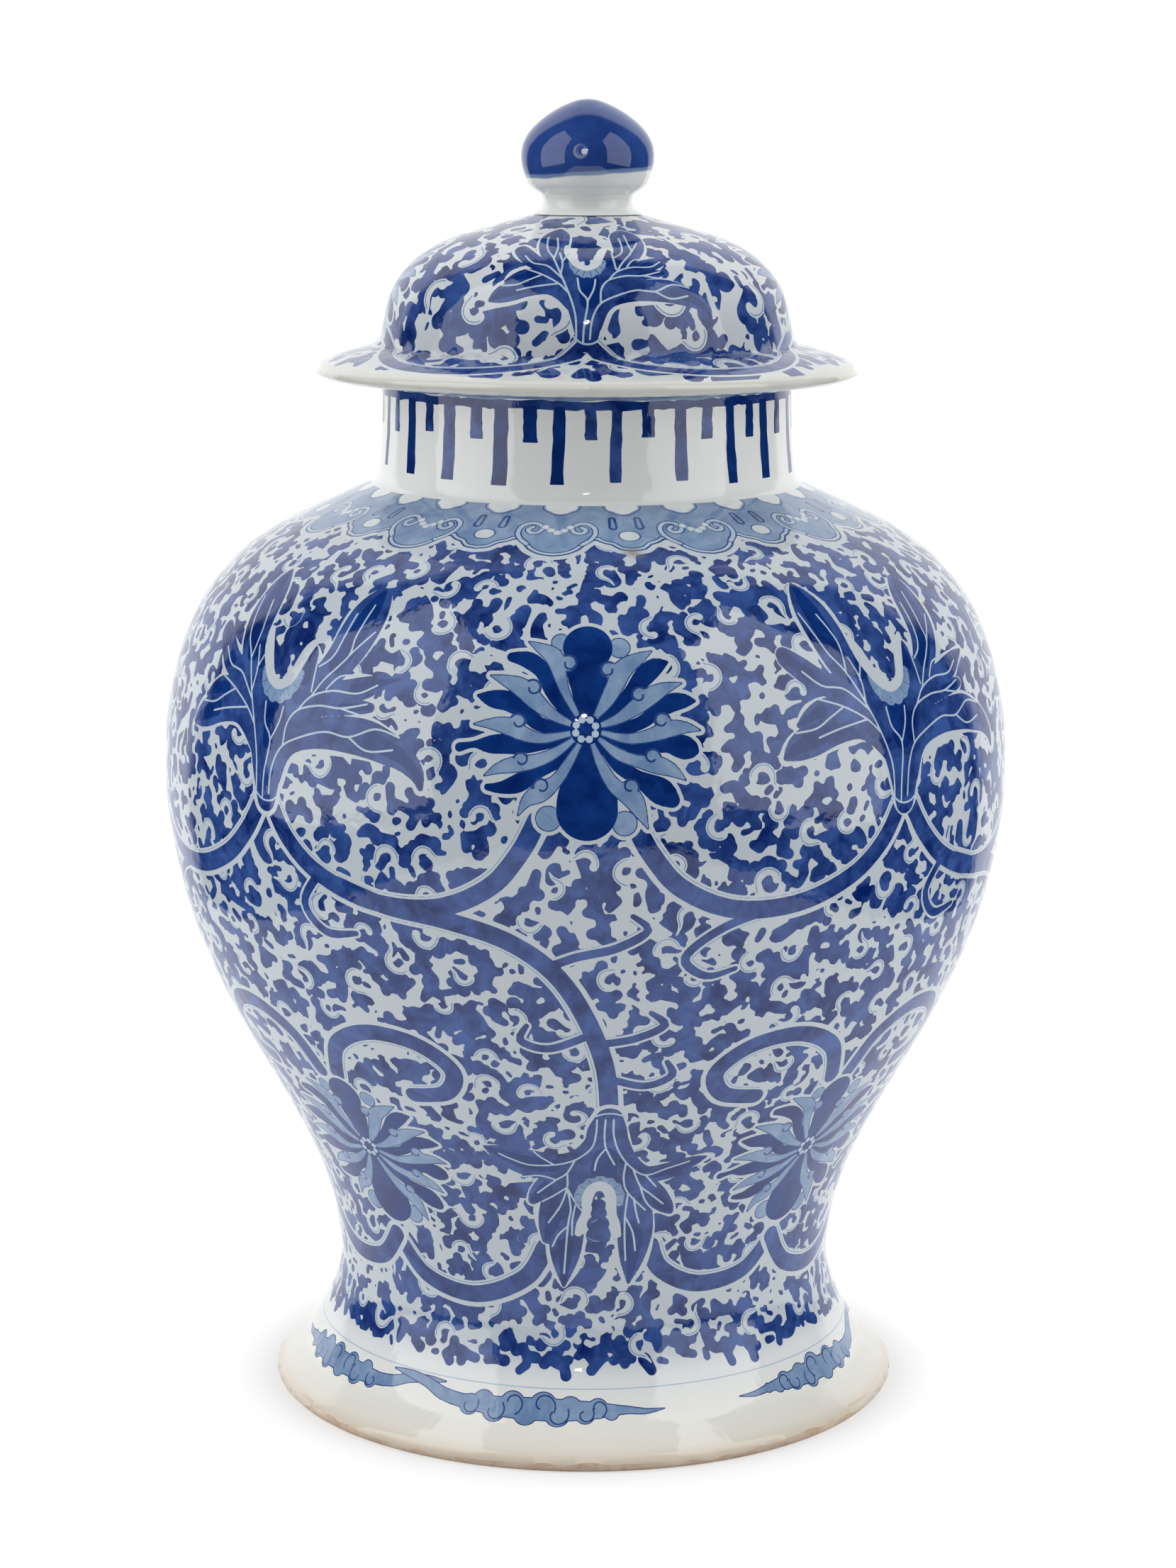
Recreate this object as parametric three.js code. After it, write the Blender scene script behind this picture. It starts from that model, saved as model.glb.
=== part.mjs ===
// A blue-and-white porcelain baluster jar with a domed cover, in millimetres, +Z up, standing on Z = 0.
// Each of the two loose pieces, jar and cover, was thrown in sections that were joined with slip.
// Every section is one solid turned round the Z axis.
import * as THREE from "three";

// Driving dimensions of the jar. Radii are outer radii, and each section has its own height.
const footHeight = 48;
const footBaseRadius = 108.2;
const footLipRadius = 110.6;
const footLipHeight = 3.4;
const footRidgeRadius = 100.2;
const footRidgeHeight = 13;
const waistRadius = 86.6;
const lowerHeight = 174;
const bellyRadius = 146.6;
const shoulderHeight = 98;
const neckFootRadius = 74.4;
const neckHeight = 36.7;
const neckRimRadius = 70.4;
const footRingWidth = 10.5;
const recessDepth = 17;
const recessTaper = 4.5;
const floorThickness = 11;
const floorFillet = 6;
const bodyWall = 7.5;
const waistWall = 9;
const neckWall = 6.2;

// Driving dimensions of the cover.
const brimRadius = 93.6;
const brimThickness = 4.6;
const brimRise = 10.8;
const domeFootRadius = 71.3;
const domeHeight = 54.5;
const domeWall = 5.6;
const collarDepth = 23;
const collarWall = 5;
const collarClearance = 2.2;
const collarChamfer = 1.7;
const stemRadius = 15.2;
const stemHeight = 6.2;
const stemFootRadius = 18.6;
const knobRadius = 22.7;
const knobHeight = 38.6;
const knobWall = 6.5;
const crownWall = 9;
const ventRadius = 5;

// What lies between two sections: the bed of slip, and the air under the loose cover.
const slipBed = 0.3;
const seatGap = 0.3;

// How finely the turned shapes are divided.
const turnSteps = 48;
const arcSteps = 4;

const porcelain = new THREE.MeshStandardMaterial({ color: 0x8d9cc4, roughness: 0.15, metalness: 0 });
const whitePorcelain = new THREE.MeshStandardMaterial({ color: 0xe6e8e6, roughness: 0.15, metalness: 0 });
const cobaltPorcelain = new THREE.MeshStandardMaterial({ color: 0x2b3f8c, roughness: 0.12, metalness: 0 });

const at = (radius, height) => new THREE.Vector2(radius, height);

// A smooth outline through points that share out the way from one place on the profile to another.
// Each share is [part of the height, part of the change in radius].
function outline(start, end, pathShares, steps) {
  const points = pathShares.map(([rise, spread]) =>
    at(start.x + (end.x - start.x) * spread, start.y + (end.y - start.y) * rise),
  );
  return new THREE.SplineCurve(points).getSpacedPoints(steps);
}

// The inner face of a wall: the outer outline moved inwards, square to itself, by the wall's thickness.
// The thickness runs evenly from its value at the outline's start to its value at the end.
function innerFace(outer, wallAtStart, wallAtEnd) {
  return outer.map((point, i) => {
    const before = outer[Math.max(i - 1, 0)];
    const after = outer[Math.min(i + 1, outer.length - 1)];
    const along = after.clone().sub(before).normalize();
    const wall = wallAtStart + (wallAtEnd - wallAtStart) * (i / (outer.length - 1));
    return at(point.x - Math.abs(along.y) * wall, point.y + Math.sign(along.y) * along.x * wall);
  });
}

// An arc of the profile: angles in degrees, 0 points outwards and 90 points up.
function arc(centre, radius, from, to) {
  return Array.from({ length: arcSteps + 1 }, (_, i) => {
    const turn = THREE.MathUtils.degToRad(from + ((to - from) * i) / arcSteps);
    return at(centre.x + radius * Math.cos(turn), centre.y + radius * Math.sin(turn));
  });
}

// One section turned on the wheel. The profile runs up the outside and down the inside.
// A ring's profile closes on itself, and a section with a floor or a crown starts and ends on the axis.
function turned(name, profile, material) {
  const first = profile[0];
  const last = profile[profile.length - 1];
  const onAxis = first.x === 0 && last.x === 0;
  const geometry = new THREE.LatheGeometry(onAxis ? profile : [...profile, first], turnSteps);
  geometry.rotateX(Math.PI / 2);
  const mesh = new THREE.Mesh(geometry, material);
  mesh.name = name;
  return mesh;
}

// The joint planes between the sections of the jar, and the plane of its rim.
const waistJoint = footHeight;
const bellyJoint = waistJoint + lowerHeight;
const neckJoint = bellyJoint + shoulderHeight;
const rimPlane = neckJoint + neckHeight;

// The foot: a skirt that flares from the waist to a rounded lip, with a bare flat ring to stand on.
// Its floor closes the jar and is recessed under, inside the ring.
const skirtShares = [
  [0, 0],
  [0.135, 0.022],
  [0.32, 0.115],
  [0.53, 0.3],
  [0.74, 0.58],
  [1, 1],
];
const lipShares = [
  [0, 0],
  [0.27, 0.24],
  [1, 1],
];
function makeFoot() {
  const top = waistJoint - slipBed;
  const skirt = outline(at(waistRadius, top), at(footRidgeRadius, footRidgeHeight), skirtShares, 7);
  const lip = outline(at(footLipRadius, footLipHeight), skirt[skirt.length - 1], lipShares, 2);
  const outside = [at(footBaseRadius, 0), ...lip, ...skirt.reverse().slice(1)];
  const floorTop = recessDepth + floorThickness;
  const innerWaist = waistRadius - waistWall;
  const inside = [
    at(innerWaist, top),
    at(innerWaist, floorTop + floorFillet),
    at(innerWaist - floorFillet, floorTop),
    at(0, floorTop),
  ];
  const ringInner = footBaseRadius - footRingWidth;
  const recess = [at(0, recessDepth), at(ringInner - recessTaper, recessDepth), at(ringInner, 0)];
  return turned("foot", [...recess, ...outside, ...inside], porcelain);
}

// The lower wall: from the narrow waist up to the widest point of the belly.
const lowerShares = [
  [0, 0],
  [0.103, 0.047],
  [0.207, 0.147],
  [0.31, 0.292],
  [0.414, 0.458],
  [0.517, 0.623],
  [0.62, 0.763],
  [0.724, 0.873],
  [0.828, 0.948],
  [0.931, 0.992],
  [1, 1],
];
function makeLowerBody() {
  const start = at(waistRadius, waistJoint);
  const end = at(bellyRadius, bellyJoint - slipBed);
  const outside = outline(start, end, lowerShares, 9);
  const inside = innerFace(outside, waistWall, bodyWall).reverse();
  inside[0].y = end.y;
  inside[inside.length - 1].y = start.y;
  return turned("lower_body", [...outside, ...inside], porcelain);
}

// The upper wall: the high round shoulder, which closes in to the foot of the neck.
const upperShares = [
  [0, 0],
  [0.184, 0.012],
  [0.367, 0.063],
  [0.49, 0.12],
  [0.612, 0.205],
  [0.735, 0.348],
  [0.796, 0.452],
  [0.857, 0.584],
  [0.918, 0.758],
  [1, 1],
];
function makeUpperBody() {
  const start = at(bellyRadius, bellyJoint);
  const end = at(neckFootRadius, neckJoint - slipBed);
  const outside = outline(start, end, upperShares, 11);
  const inside = innerFace(outside, bodyWall, neckWall).reverse();
  inside[0].set(neckFootRadius - neckWall, end.y);
  inside[inside.length - 1].y = start.y;
  return turned("upper_body", [...outside, ...inside], porcelain);
}

// The neck: a short upright collar, a little narrower at its flat rim than at its foot.
const neckShares = [
  [0, 0],
  [0.05, 0.45],
  [0.27, 0.72],
  [0.6, 0.93],
  [1, 1],
];
const neckBoreRadius = neckRimRadius - neckWall;
function makeNeck() {
  const outside = outline(at(neckFootRadius, neckJoint), at(neckRimRadius, rimPlane), neckShares, 5);
  const inside = [at(neckBoreRadius, rimPlane), at(neckBoreRadius, neckJoint)];
  return turned("neck", [...outside, ...inside], porcelain);
}

// The cover's dome and brim, one thrown piece. The brim's flat underside rests on the rim of the neck.
// The brim's round edge turns from straight down to where the brim's upper face leaves it.
const brimTurnFrom = -90;
const brimTurnTo = 60;
const brimUnderside = rimPlane + seatGap;
const domeFootHeight = brimUnderside + brimRise;
const domeTop = brimUnderside + domeHeight;
const collarOuterRadius = neckBoreRadius - collarClearance;
const collarInnerRadius = collarOuterRadius - collarWall;
const domeShares = [
  [0, 0],
  [0.17, 0.026],
  [0.33, 0.056],
  [0.47, 0.107],
  [0.58, 0.175],
  [0.68, 0.265],
  [0.77, 0.385],
  [0.85, 0.55],
  [0.92, 0.76],
  [1, 1],
];
function makeLidDome() {
  const edge = brimThickness / 2;
  const brimEdge = arc(at(brimRadius - edge, brimUnderside + edge), edge, brimTurnFrom, brimTurnTo);
  const crownFoot = at(stemFootRadius, domeTop);
  const dome = outline(at(domeFootRadius, domeFootHeight), crownFoot, domeShares, 11);
  const hollow = innerFace(dome, domeWall, domeWall).reverse();
  const crownUnder = domeTop - domeWall;
  const inside = [
    at(ventRadius, domeTop),
    at(ventRadius, crownUnder),
    ...hollow.slice(1, -2),
    at(collarInnerRadius, brimUnderside + brimThickness),
    at(collarInnerRadius, brimUnderside),
  ];
  return turned("lid_dome", [...brimEdge, ...dome, ...inside], porcelain);
}

// The collar: a plain ring luted under the dome, which drops into the neck and keeps the cover in place.
function makeLidCollar() {
  const top = brimUnderside - slipBed;
  const bottom = brimUnderside - collarDepth;
  const profile = [
    at(collarInnerRadius, bottom),
    at(collarOuterRadius - collarChamfer, bottom),
    at(collarOuterRadius, bottom + collarChamfer),
    at(collarOuterRadius, top),
    at(collarInnerRadius, top),
  ];
  return turned("lid_collar", profile, whitePorcelain);
}

// The knob: a waisted stem under a hollow, slightly pointed ball. Its hollow opens into the vent.
const stemFoot = domeTop + slipBed;
const ballFoot = stemFoot + stemHeight;
const stemShares = [
  [0, 0],
  [0.32, 0.8],
  [0.72, 1],
  [1, 0.86],
];
const ballShares = [
  [0, 0.67],
  [0.1, 0.87],
  [0.18, 0.93],
  [0.3, 0.985],
  [0.42, 1],
  [0.53, 0.985],
  [0.66, 0.92],
  [0.79, 0.79],
  [0.9, 0.58],
  [0.97, 0.32],
  [1, 0],
];
const hollowShares = [
  [0, 0],
  [0.5, 1],
  [0.85, 0.72],
  [1, 0],
];
function makeKnob() {
  const top = stemFoot + knobHeight;
  const stem = outline(at(stemFootRadius, stemFoot), at(stemRadius, ballFoot), stemShares, 4);
  const ball = outline(at(0, ballFoot), at(knobRadius, top), ballShares, 14);
  ball[ball.length - 1].x = 0;
  const hollow = outline(at(0, ballFoot), at(knobRadius - knobWall, top - crownWall), hollowShares, 6);
  hollow.reverse()[0].x = 0;
  hollow[hollow.length - 1].x = ventRadius;
  return turned("knob", [...hollow, at(ventRadius, stemFoot), ...stem, ...ball], cobaltPorcelain);
}

const jar = new THREE.Group();
jar.add(makeFoot(), makeLowerBody(), makeUpperBody(), makeNeck());

const cover = new THREE.Group();
cover.add(makeLidDome(), makeLidCollar(), makeKnob());

const coveredJar = new THREE.Group();
coveredJar.add(jar, cover);

export default coveredJar;
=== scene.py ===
import math

import bmesh
import bpy
import numpy as np
from mathutils.geometry import delaunay_2d_cdt
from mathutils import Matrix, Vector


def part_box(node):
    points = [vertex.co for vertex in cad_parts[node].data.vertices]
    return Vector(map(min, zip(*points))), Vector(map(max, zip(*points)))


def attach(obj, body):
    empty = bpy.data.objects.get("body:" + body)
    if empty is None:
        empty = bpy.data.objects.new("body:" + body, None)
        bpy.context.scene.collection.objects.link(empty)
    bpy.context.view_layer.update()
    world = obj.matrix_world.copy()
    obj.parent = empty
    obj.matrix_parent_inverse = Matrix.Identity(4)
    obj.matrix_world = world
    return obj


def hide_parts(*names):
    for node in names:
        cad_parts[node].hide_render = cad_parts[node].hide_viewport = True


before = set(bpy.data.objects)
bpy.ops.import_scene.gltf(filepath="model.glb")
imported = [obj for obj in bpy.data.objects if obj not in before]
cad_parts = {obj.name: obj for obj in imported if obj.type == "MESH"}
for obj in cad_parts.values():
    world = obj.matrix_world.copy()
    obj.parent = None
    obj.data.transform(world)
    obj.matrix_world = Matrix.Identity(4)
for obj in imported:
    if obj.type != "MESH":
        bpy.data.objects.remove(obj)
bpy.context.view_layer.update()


# The jar's wall. Foot, lower body and upper body are thrown one by one in white porcelain clay,
# turned thin when they are leather hard, and luted with slip into one wall, which is then painted.
# Lengths are in millimetres until a mesh is made, and heights are above the table.
MM = 0.001
foot_lip_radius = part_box("foot")[1][0] / MM
belly_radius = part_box("upper_body")[1][0] / MM
neck_foot_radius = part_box("neck")[1][0] / MM
waist_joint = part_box("lower_body")[0][2] / MM
belly_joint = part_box("upper_body")[0][2] / MM
neck_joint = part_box("neck")[0][2] / MM
foot_base_radius = 108.2
foot_lip_height = 3.4
foot_ridge_radius = 100.2
foot_ridge_height = 13
waist_radius = 86.6
painting_foot = 28
brush_grain = 0.35

# Each share is [part of the height, part of the change in radius] on the way up.
base_shares = [[0, 0], [0.45, 0.7], [1, 1]]
lip_shares = [[0, 0], [0.27, 0.24], [1, 1]]
skirt_shares = [[0, 0], [0.26, 0.42], [0.47, 0.7], [0.68, 0.885], [0.865, 0.978], [1, 1]]
lower_shares = [
    [0, 0], [0.103, 0.047], [0.207, 0.147], [0.31, 0.292], [0.414, 0.458], [0.517, 0.623],
    [0.62, 0.763], [0.724, 0.873], [0.828, 0.948], [0.931, 0.992], [1, 1],
]
upper_shares = [
    [0, 0], [0.184, 0.012], [0.367, 0.063], [0.49, 0.12], [0.612, 0.205], [0.735, 0.348],
    [0.796, 0.452], [0.857, 0.584], [0.918, 0.758], [1, 1],
]


def smooth(points, step):
    """A smooth line through points of two or more values, with a new point about every step."""
    points = np.asarray(points, float)
    padded = np.vstack([points[:1], points, points[-1:]])
    spans = []
    for a, b, c, d in zip(padded, padded[1:], padded[2:], padded[3:]):
        count = max(2, math.ceil(np.hypot(*(c - b)[:2]) / step))
        t = np.arange(count)[:, None] / count
        cubic = 2 * a - 5 * b + 4 * c - d + t * (3 * (b - c) + d - a)
        spans.append(b + 0.5 * t * (c - a + t * cubic))
    return np.vstack([*spans, points[-1:]])


def widened(points, half_width):
    """Points of a line, with the same half width at each."""
    return np.column_stack([points, np.full(len(points), half_width)])


def outline(start, end, shares):
    """A profile from start to end, each [radius, height], that follows the shares of the way."""
    start, end = np.array(start, float), np.array(end, float)
    return smooth([start + (end - start) * [spread, rise] for rise, spread in shares], 0.5)


class Wall:
    """The outside of a thrown wall, unrolled so that small shapes keep their form.

    Columns run once round it, starting at the back, and rows run up it. For each wash it holds
    the distance in mm to the edge of what is painted in that wash, negative inside.
    """

    washes = ["cobalt", "deep", "pale", "light", "line", "bare"]
    unpainted = 9.0
    batch = 8

    def __init__(self, outlines, grain, start_height):
        """outlines are the sections' profiles, which meet end to end. Places along the wall are
        measured from start_height."""
        places = np.vstack([outlines[0][:1]] + [one[1:] for one in outlines])
        radius, height = places.T
        run = np.hypot(np.diff(radius), np.diff(height))
        along = np.concatenate([[0], np.cumsum(run)])
        turn = np.concatenate([[0], np.cumsum(run * 2 / (radius[1:] + radius[:-1]))])
        self.columns = round(2 * math.pi * radius.max() / grain)
        self.pitch = 2 * math.pi / self.columns
        self.joints = [0]
        levels = [np.zeros(1)]
        done = 0
        for one in outlines:
            first, done = turn[done], done + len(one) - 1
            rows = round((turn[done] - first) / self.pitch)
            levels.append(np.linspace(first, turn[done], rows + 1)[1:])
            self.joints.append(self.joints[-1] + rows)
        level = np.concatenate(levels)
        self.rows = len(level)
        self.radius = np.interp(level, turn, radius)
        self.height = np.interp(level, turn, height)
        self.along = np.interp(level, turn, along)
        self.along -= np.interp(start_height, self.height, self.along)
        self.grain = (self.radius * self.pitch).astype(np.float32)
        out, up = np.gradient(self.height), -np.gradient(self.radius)
        self.facing = np.stack([out, up], 1) / np.hypot(out, up)[:, None]
        self.wash = {name: np.full((self.rows, self.columns), self.unpainted, np.float32)
                     for name in self.washes}

    def spot(self, degrees, along):
        """Column and row of a place: degrees to the right from the front, and mm along the wall."""
        column = self.columns * (0.5 + np.asarray(degrees, float) / 360)
        return np.stack([column, np.interp(along, self.along, np.arange(self.rows))], -1)

    def local(self, degrees, along, points):
        """Columns and rows of points in mm to the right of a place and up the wall from it."""
        points = np.asarray(points, float)
        radius = np.interp(along, self.along, self.radius)
        place = self.spot(degrees + np.degrees(points[:, 0] / radius), along + points[:, 1])
        return np.hstack([place, points[:, 2:]])

    def add(self, wash, distance):
        """Paints a wash wherever a distance is below 0."""
        self.wash[wash] = np.minimum(self.wash[wash], distance)

    def cut(self, wash, distance):
        """Leaves a wash only where a distance is below 0."""
        self.wash[wash] = np.maximum(self.wash[wash], distance)

    def lay(self, low, high, reach, distance_to, changes):
        """Changes washes round a shape, as far as reach in mm. Each change is (wash, grow), and a
        wash with a minus sign is wiped away there."""
        middle = int(np.clip((low[1] + high[1]) / 2, 0, self.rows - 1))
        margin = (reach + max(grow for _, grow in changes)) / self.grain[middle]
        first, last = max(0, int(low[1] - margin)), min(self.rows, int(high[1] + margin) + 2)
        if first >= last:
            return
        rows = np.arange(first, last)
        columns = np.arange(int(low[0] - margin), int(high[0] + margin) + 2)
        x, y = columns[None].astype(np.float32), rows[:, None].astype(np.float32)
        distance = distance_to(x, y, first, last)
        whole = columns[0] >= 0 and columns[-1] < self.columns
        across = slice(columns[0], columns[-1] + 1) if whole else columns % self.columns
        for wash, grow in changes:
            field = self.wash[wash.strip("-")][first:last]
            if wash.startswith("-"):
                field[:, across] = np.maximum(field[:, across], grow - distance)
            else:
                field[:, across] = np.minimum(field[:, across], distance - grow)

    def stroke(self, points, changes, reach=1.6, dabs=False):
        """A brush stroke through points, or a dab at each: column, row and half width in mm."""
        points = np.asarray(points, float)
        starts, ends = (points, points) if dabs or len(points) == 1 else (points[:-1], points[1:])
        for number in range(0, len(starts), self.batch):
            part = np.stack([starts[number:number + self.batch], ends[number:number + self.batch]])
            (ax, ay, ar), (bx, by, br) = part.astype(np.float32).transpose(0, 2, 1)[..., None, None]
            dx, dy = bx - ax, by - ay
            length = dx * dx + dy * dy + 1e-6

            def distance_to(x, y, first, last):
                t = np.clip(((x - ax) * dx + (y - ay) * dy) / length, 0, 1)
                off = np.sqrt((x - ax - t * dx) ** 2 + (y - ay - t * dy) ** 2)
                return (off * self.grain[first:last, None] - ar - (br - ar) * t).min(0)

            low, high = part[..., :2].min((0, 1)), part[..., :2].max((0, 1))
            self.lay(low, high, reach + part[..., 2].max(), distance_to, changes)

    def shape(self, points, changes, reach=1.6):
        """A filled shape with its corners at points, each column and row."""
        points = np.asarray(points, float)[:, :2]

        def distance_to(x, y, first, last):
            nearest = np.full((last - first, x.shape[1]), 1e12)
            inside = np.zeros(nearest.shape, bool)
            for (ax, ay), (bx, by) in zip(points, np.roll(points, -1, 0)):
                dx, dy = bx - ax, by - ay
                t = np.clip(((x - ax) * dx + (y - ay) * dy) / (dx * dx + dy * dy + 1e-9), 0, 1)
                nearest = np.minimum(nearest, (x - ax - t * dx) ** 2 + (y - ay - t * dy) ** 2)
                if ay != by:
                    inside ^= ((y < ay) != (y < by)) & (x < ax + (y - ay) * dx / dy)
            return np.sqrt(nearest) * np.where(inside, -1, 1) * self.grain[first:last, None]

        self.lay(points.min(0), points.max(0), reach, distance_to, changes)


foot_base = [foot_base_radius, 0]
foot_lip = [foot_lip_radius, foot_lip_height]
foot_ridge = [foot_ridge_radius, foot_ridge_height]
waist = [waist_radius, waist_joint]
belly = [belly_radius, belly_joint]
neck_foot = [neck_foot_radius, neck_joint]
foot_outline = np.vstack([
    outline(foot_base, foot_lip, base_shares)[:-1],
    outline(foot_lip, foot_ridge, lip_shares)[:-1],
    outline(foot_ridge, waist, skirt_shares),
])
lower_outline = outline(waist, belly, lower_shares)
upper_outline = outline(belly, neck_foot, upper_shares)
jar_wall = Wall([foot_outline, lower_outline, upper_outline], brush_grain, painting_foot)


# The ground of the painting: a close leafy scroll in cobalt all over the wall. It is built up from
# crooked fronds with round fingers, and white channels with scalloped sides are left in it, each of
# which ends in a thick white comma curl with a thin pale line along its back.
ground_top = 336
ground_margin = 2.4
path_gap = 8.2
path_step = 3.1
path_turn = 0.5
frond_half_width = 2.1
finger_length = 3.0
finger_half_width = 1.9
finger_lost = 0.2
# Long fronds come first, then short ones: [share of the gap that they need, most steps each way].
frond_rounds = [(0.8, 12), (0.62, 3)]
frond_area = 4
widest_gap = 2.0
left_gap = 1.2
empty_room = 12.0
curl_area = 12
curl_gap = 10
curl_room = 8
curl_sizes = (3.2, 4.3)
curl_lobes = 7
leader_steps = 9
patch_area = 3
# The fronds lean together over broad patches: cells up and round the wall, and cells to a wave.
lean_cells, lean_wave = (64, 256), 26
speck = 1.5
channel_half_width = 1.0
channel_claim = -2.2
thin_line = 0.2
# How far round a shape its washes are worked out, where they grow or meet others.
wide_reach = 5


def drift(shape, wave, random):
    """Even noise that rises and falls about once every wave, in cells of the array."""
    rough = np.fft.rfft2(random.standard_normal(shape).astype(np.float32))
    pace = np.hypot(np.fft.fftfreq(shape[0])[:, None], np.fft.rfftfreq(shape[1])[None])
    soft = np.fft.irfft2(rough * np.exp(-((pace * wave - 1) / 0.35) ** 2), s=shape)
    return soft / soft.std()


def settled(field, spread):
    """A field whose finest bumps have run together, over a spread in cells, as wet cobalt does."""
    pace = np.hypot(np.fft.fftfreq(field.shape[0])[:, None], np.fft.rfftfreq(field.shape[1])[None])
    soft = np.exp(-2 * (math.pi * pace * spread) ** 2)
    return np.fft.irfft2(np.fft.rfft2(field.clip(-2, 2)) * soft, s=field.shape).astype(np.float32)


def course(wall, path):
    """The way along a path at each of its points, the way square to that, and the grain there."""
    way = np.gradient(path[:, :2], axis=0)
    way /= np.hypot(*way.T)[:, None] + 1e-9
    square = np.stack([-way[:, 1], way[:, 0]], 1)
    return way, square, np.interp(path[:, 1], np.arange(wall.rows), wall.grain)[:, None]


def by_turns(count, random):
    """1 and -1 by turns, in a column, for what stands to each side of a path in turn."""
    return (np.where(np.arange(count) % 2, 1, -1) * random.choice([1, -1]))[:, None]


def wander(wall, x, y, heading, count, limits, random):
    """A crooked path from a place, until it comes too near to another one or leaves the limits."""
    path = [(x, y)]
    lean = heading
    for _ in range(count):
        heading += random.normal(0, path_turn) + 0.3 * (lean - heading)
        grain = wall.grain[int(y)]
        x, y = x + path_step * math.cos(heading) / grain, y + path_step * math.sin(heading) / grain
        inside = limits[0] < y < limits[1]
        if not inside or wall.wash["room"][int(y), int(x) % wall.columns] < path_gap * 0.5:
            break
        path.append((x, y))
    return path


def frond(wall, path, random):
    """Lays one crooked frond of cobalt, with a round finger to each side in turn."""
    count = len(path)
    way, square, grain = course(wall, path)
    body = frond_half_width * random.uniform(0.7, 1.15, count)
    body[[0, -1]] *= 0.8
    wall.stroke(smooth(np.column_stack([path, body]), 4), [("cobalt", 0)], wide_reach)
    out = square * by_turns(count, random)
    sizes = random.uniform(0.7, 1.15, count)
    for root, aside, ahead, one, size in zip(path, out, way, grain, sizes):
        if random.random() < finger_lost:
            continue
        tip = root + (aside + ahead * random.uniform(-0.1, 0.9)) * finger_length * size / one
        ends = frond_half_width * 0.8, finger_half_width * random.uniform(0.75, 1.15)
        wall.stroke([(*root, ends[0]), (*tip, ends[1])], [("cobalt", 0)], wide_reach)


def channel(wall, path, random):
    """Leaves a crooked white channel in the cobalt, with a round bay to each side in turn."""
    count = len(path)
    _, square, grain = course(wall, path)
    out = square * by_turns(count, random)
    width = channel_half_width * random.uniform(0.7, 1.2, count) * np.linspace(1, 0.5, count)
    wall.stroke(smooth(np.column_stack([path, width]), 4), [("-cobalt", 0)])
    bays = path + out * random.uniform(0.8, 1.6, (count, 1)) / grain
    bays = np.column_stack([bays, random.uniform(0.7, 1.3, count)])
    wall.stroke(bays, [("-cobalt", 0)], dabs=True)


def curl(wall, degrees, along, size, turn, side, scale, random):
    """The path of a comma curl from its pointed tail, and its half widths in the scroll's scale."""
    sweep = math.radians(random.uniform(140, 190))
    t = np.linspace(0, 1, 14)
    reach = size * (1 - 0.36 * t ** 1.5)
    x, y = reach * np.cos(sweep * t), -reach * np.sin(sweep * t)
    tail = np.linspace(1, 0, 5)[:-1]
    length = random.uniform(0.7, 1.3) * size
    x = np.concatenate([x[0] + 0.5 * tail ** 2 * length, x]) * side
    y = np.concatenate([y[0] + tail * length, y])
    width = np.concatenate([
        size * (0.27 - 0.2 * tail),
        size * np.interp(t, [0, 0.3, 0.7, 0.88, 1], [0.27, 0.36, 0.3, 0.36, 0.36]),
    ])
    across, rise = x * math.cos(turn) - y * math.sin(turn), x * math.sin(turn) + y * math.cos(turn)
    return wall.local(degrees, along, np.stack([across * scale, rise * scale, width], 1))


def paint_curl(wall, path, side, random):
    """Lays lobes of cobalt along a curl's back and one in its mouth, and wipes the curl out."""
    _, square, grains = course(wall, path)
    back = square * side
    lobes = random.choice(np.arange(4, len(path)), curl_lobes, replace=False)
    size = random.uniform(1.4, 2.6, curl_lobes)
    off = (path[lobes, 2] + size * 0.75)[:, None] / grains[lobes]
    middles = path[lobes, :2] + back[lobes] * off
    wall.stroke(np.column_stack([middles, size]), [("cobalt", 0)], dabs=True)
    heart = path[6:, :2].mean(0)
    mouth = heart + (heart - path[11, :2]) * random.uniform(1.3, 1.9)
    wall.stroke([(*heart, 2.3), (*mouth, random.uniform(1.2, 2))], [("cobalt", 0)])
    wall.stroke(path, [("-cobalt", 0)])
    line = path[:, :2] + back * (path[:, 2:] - 0.6).clip(0.05) / grains
    wall.stroke(widened(line, thin_line)[2:-1], [("pale", 0)], 1)


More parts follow.
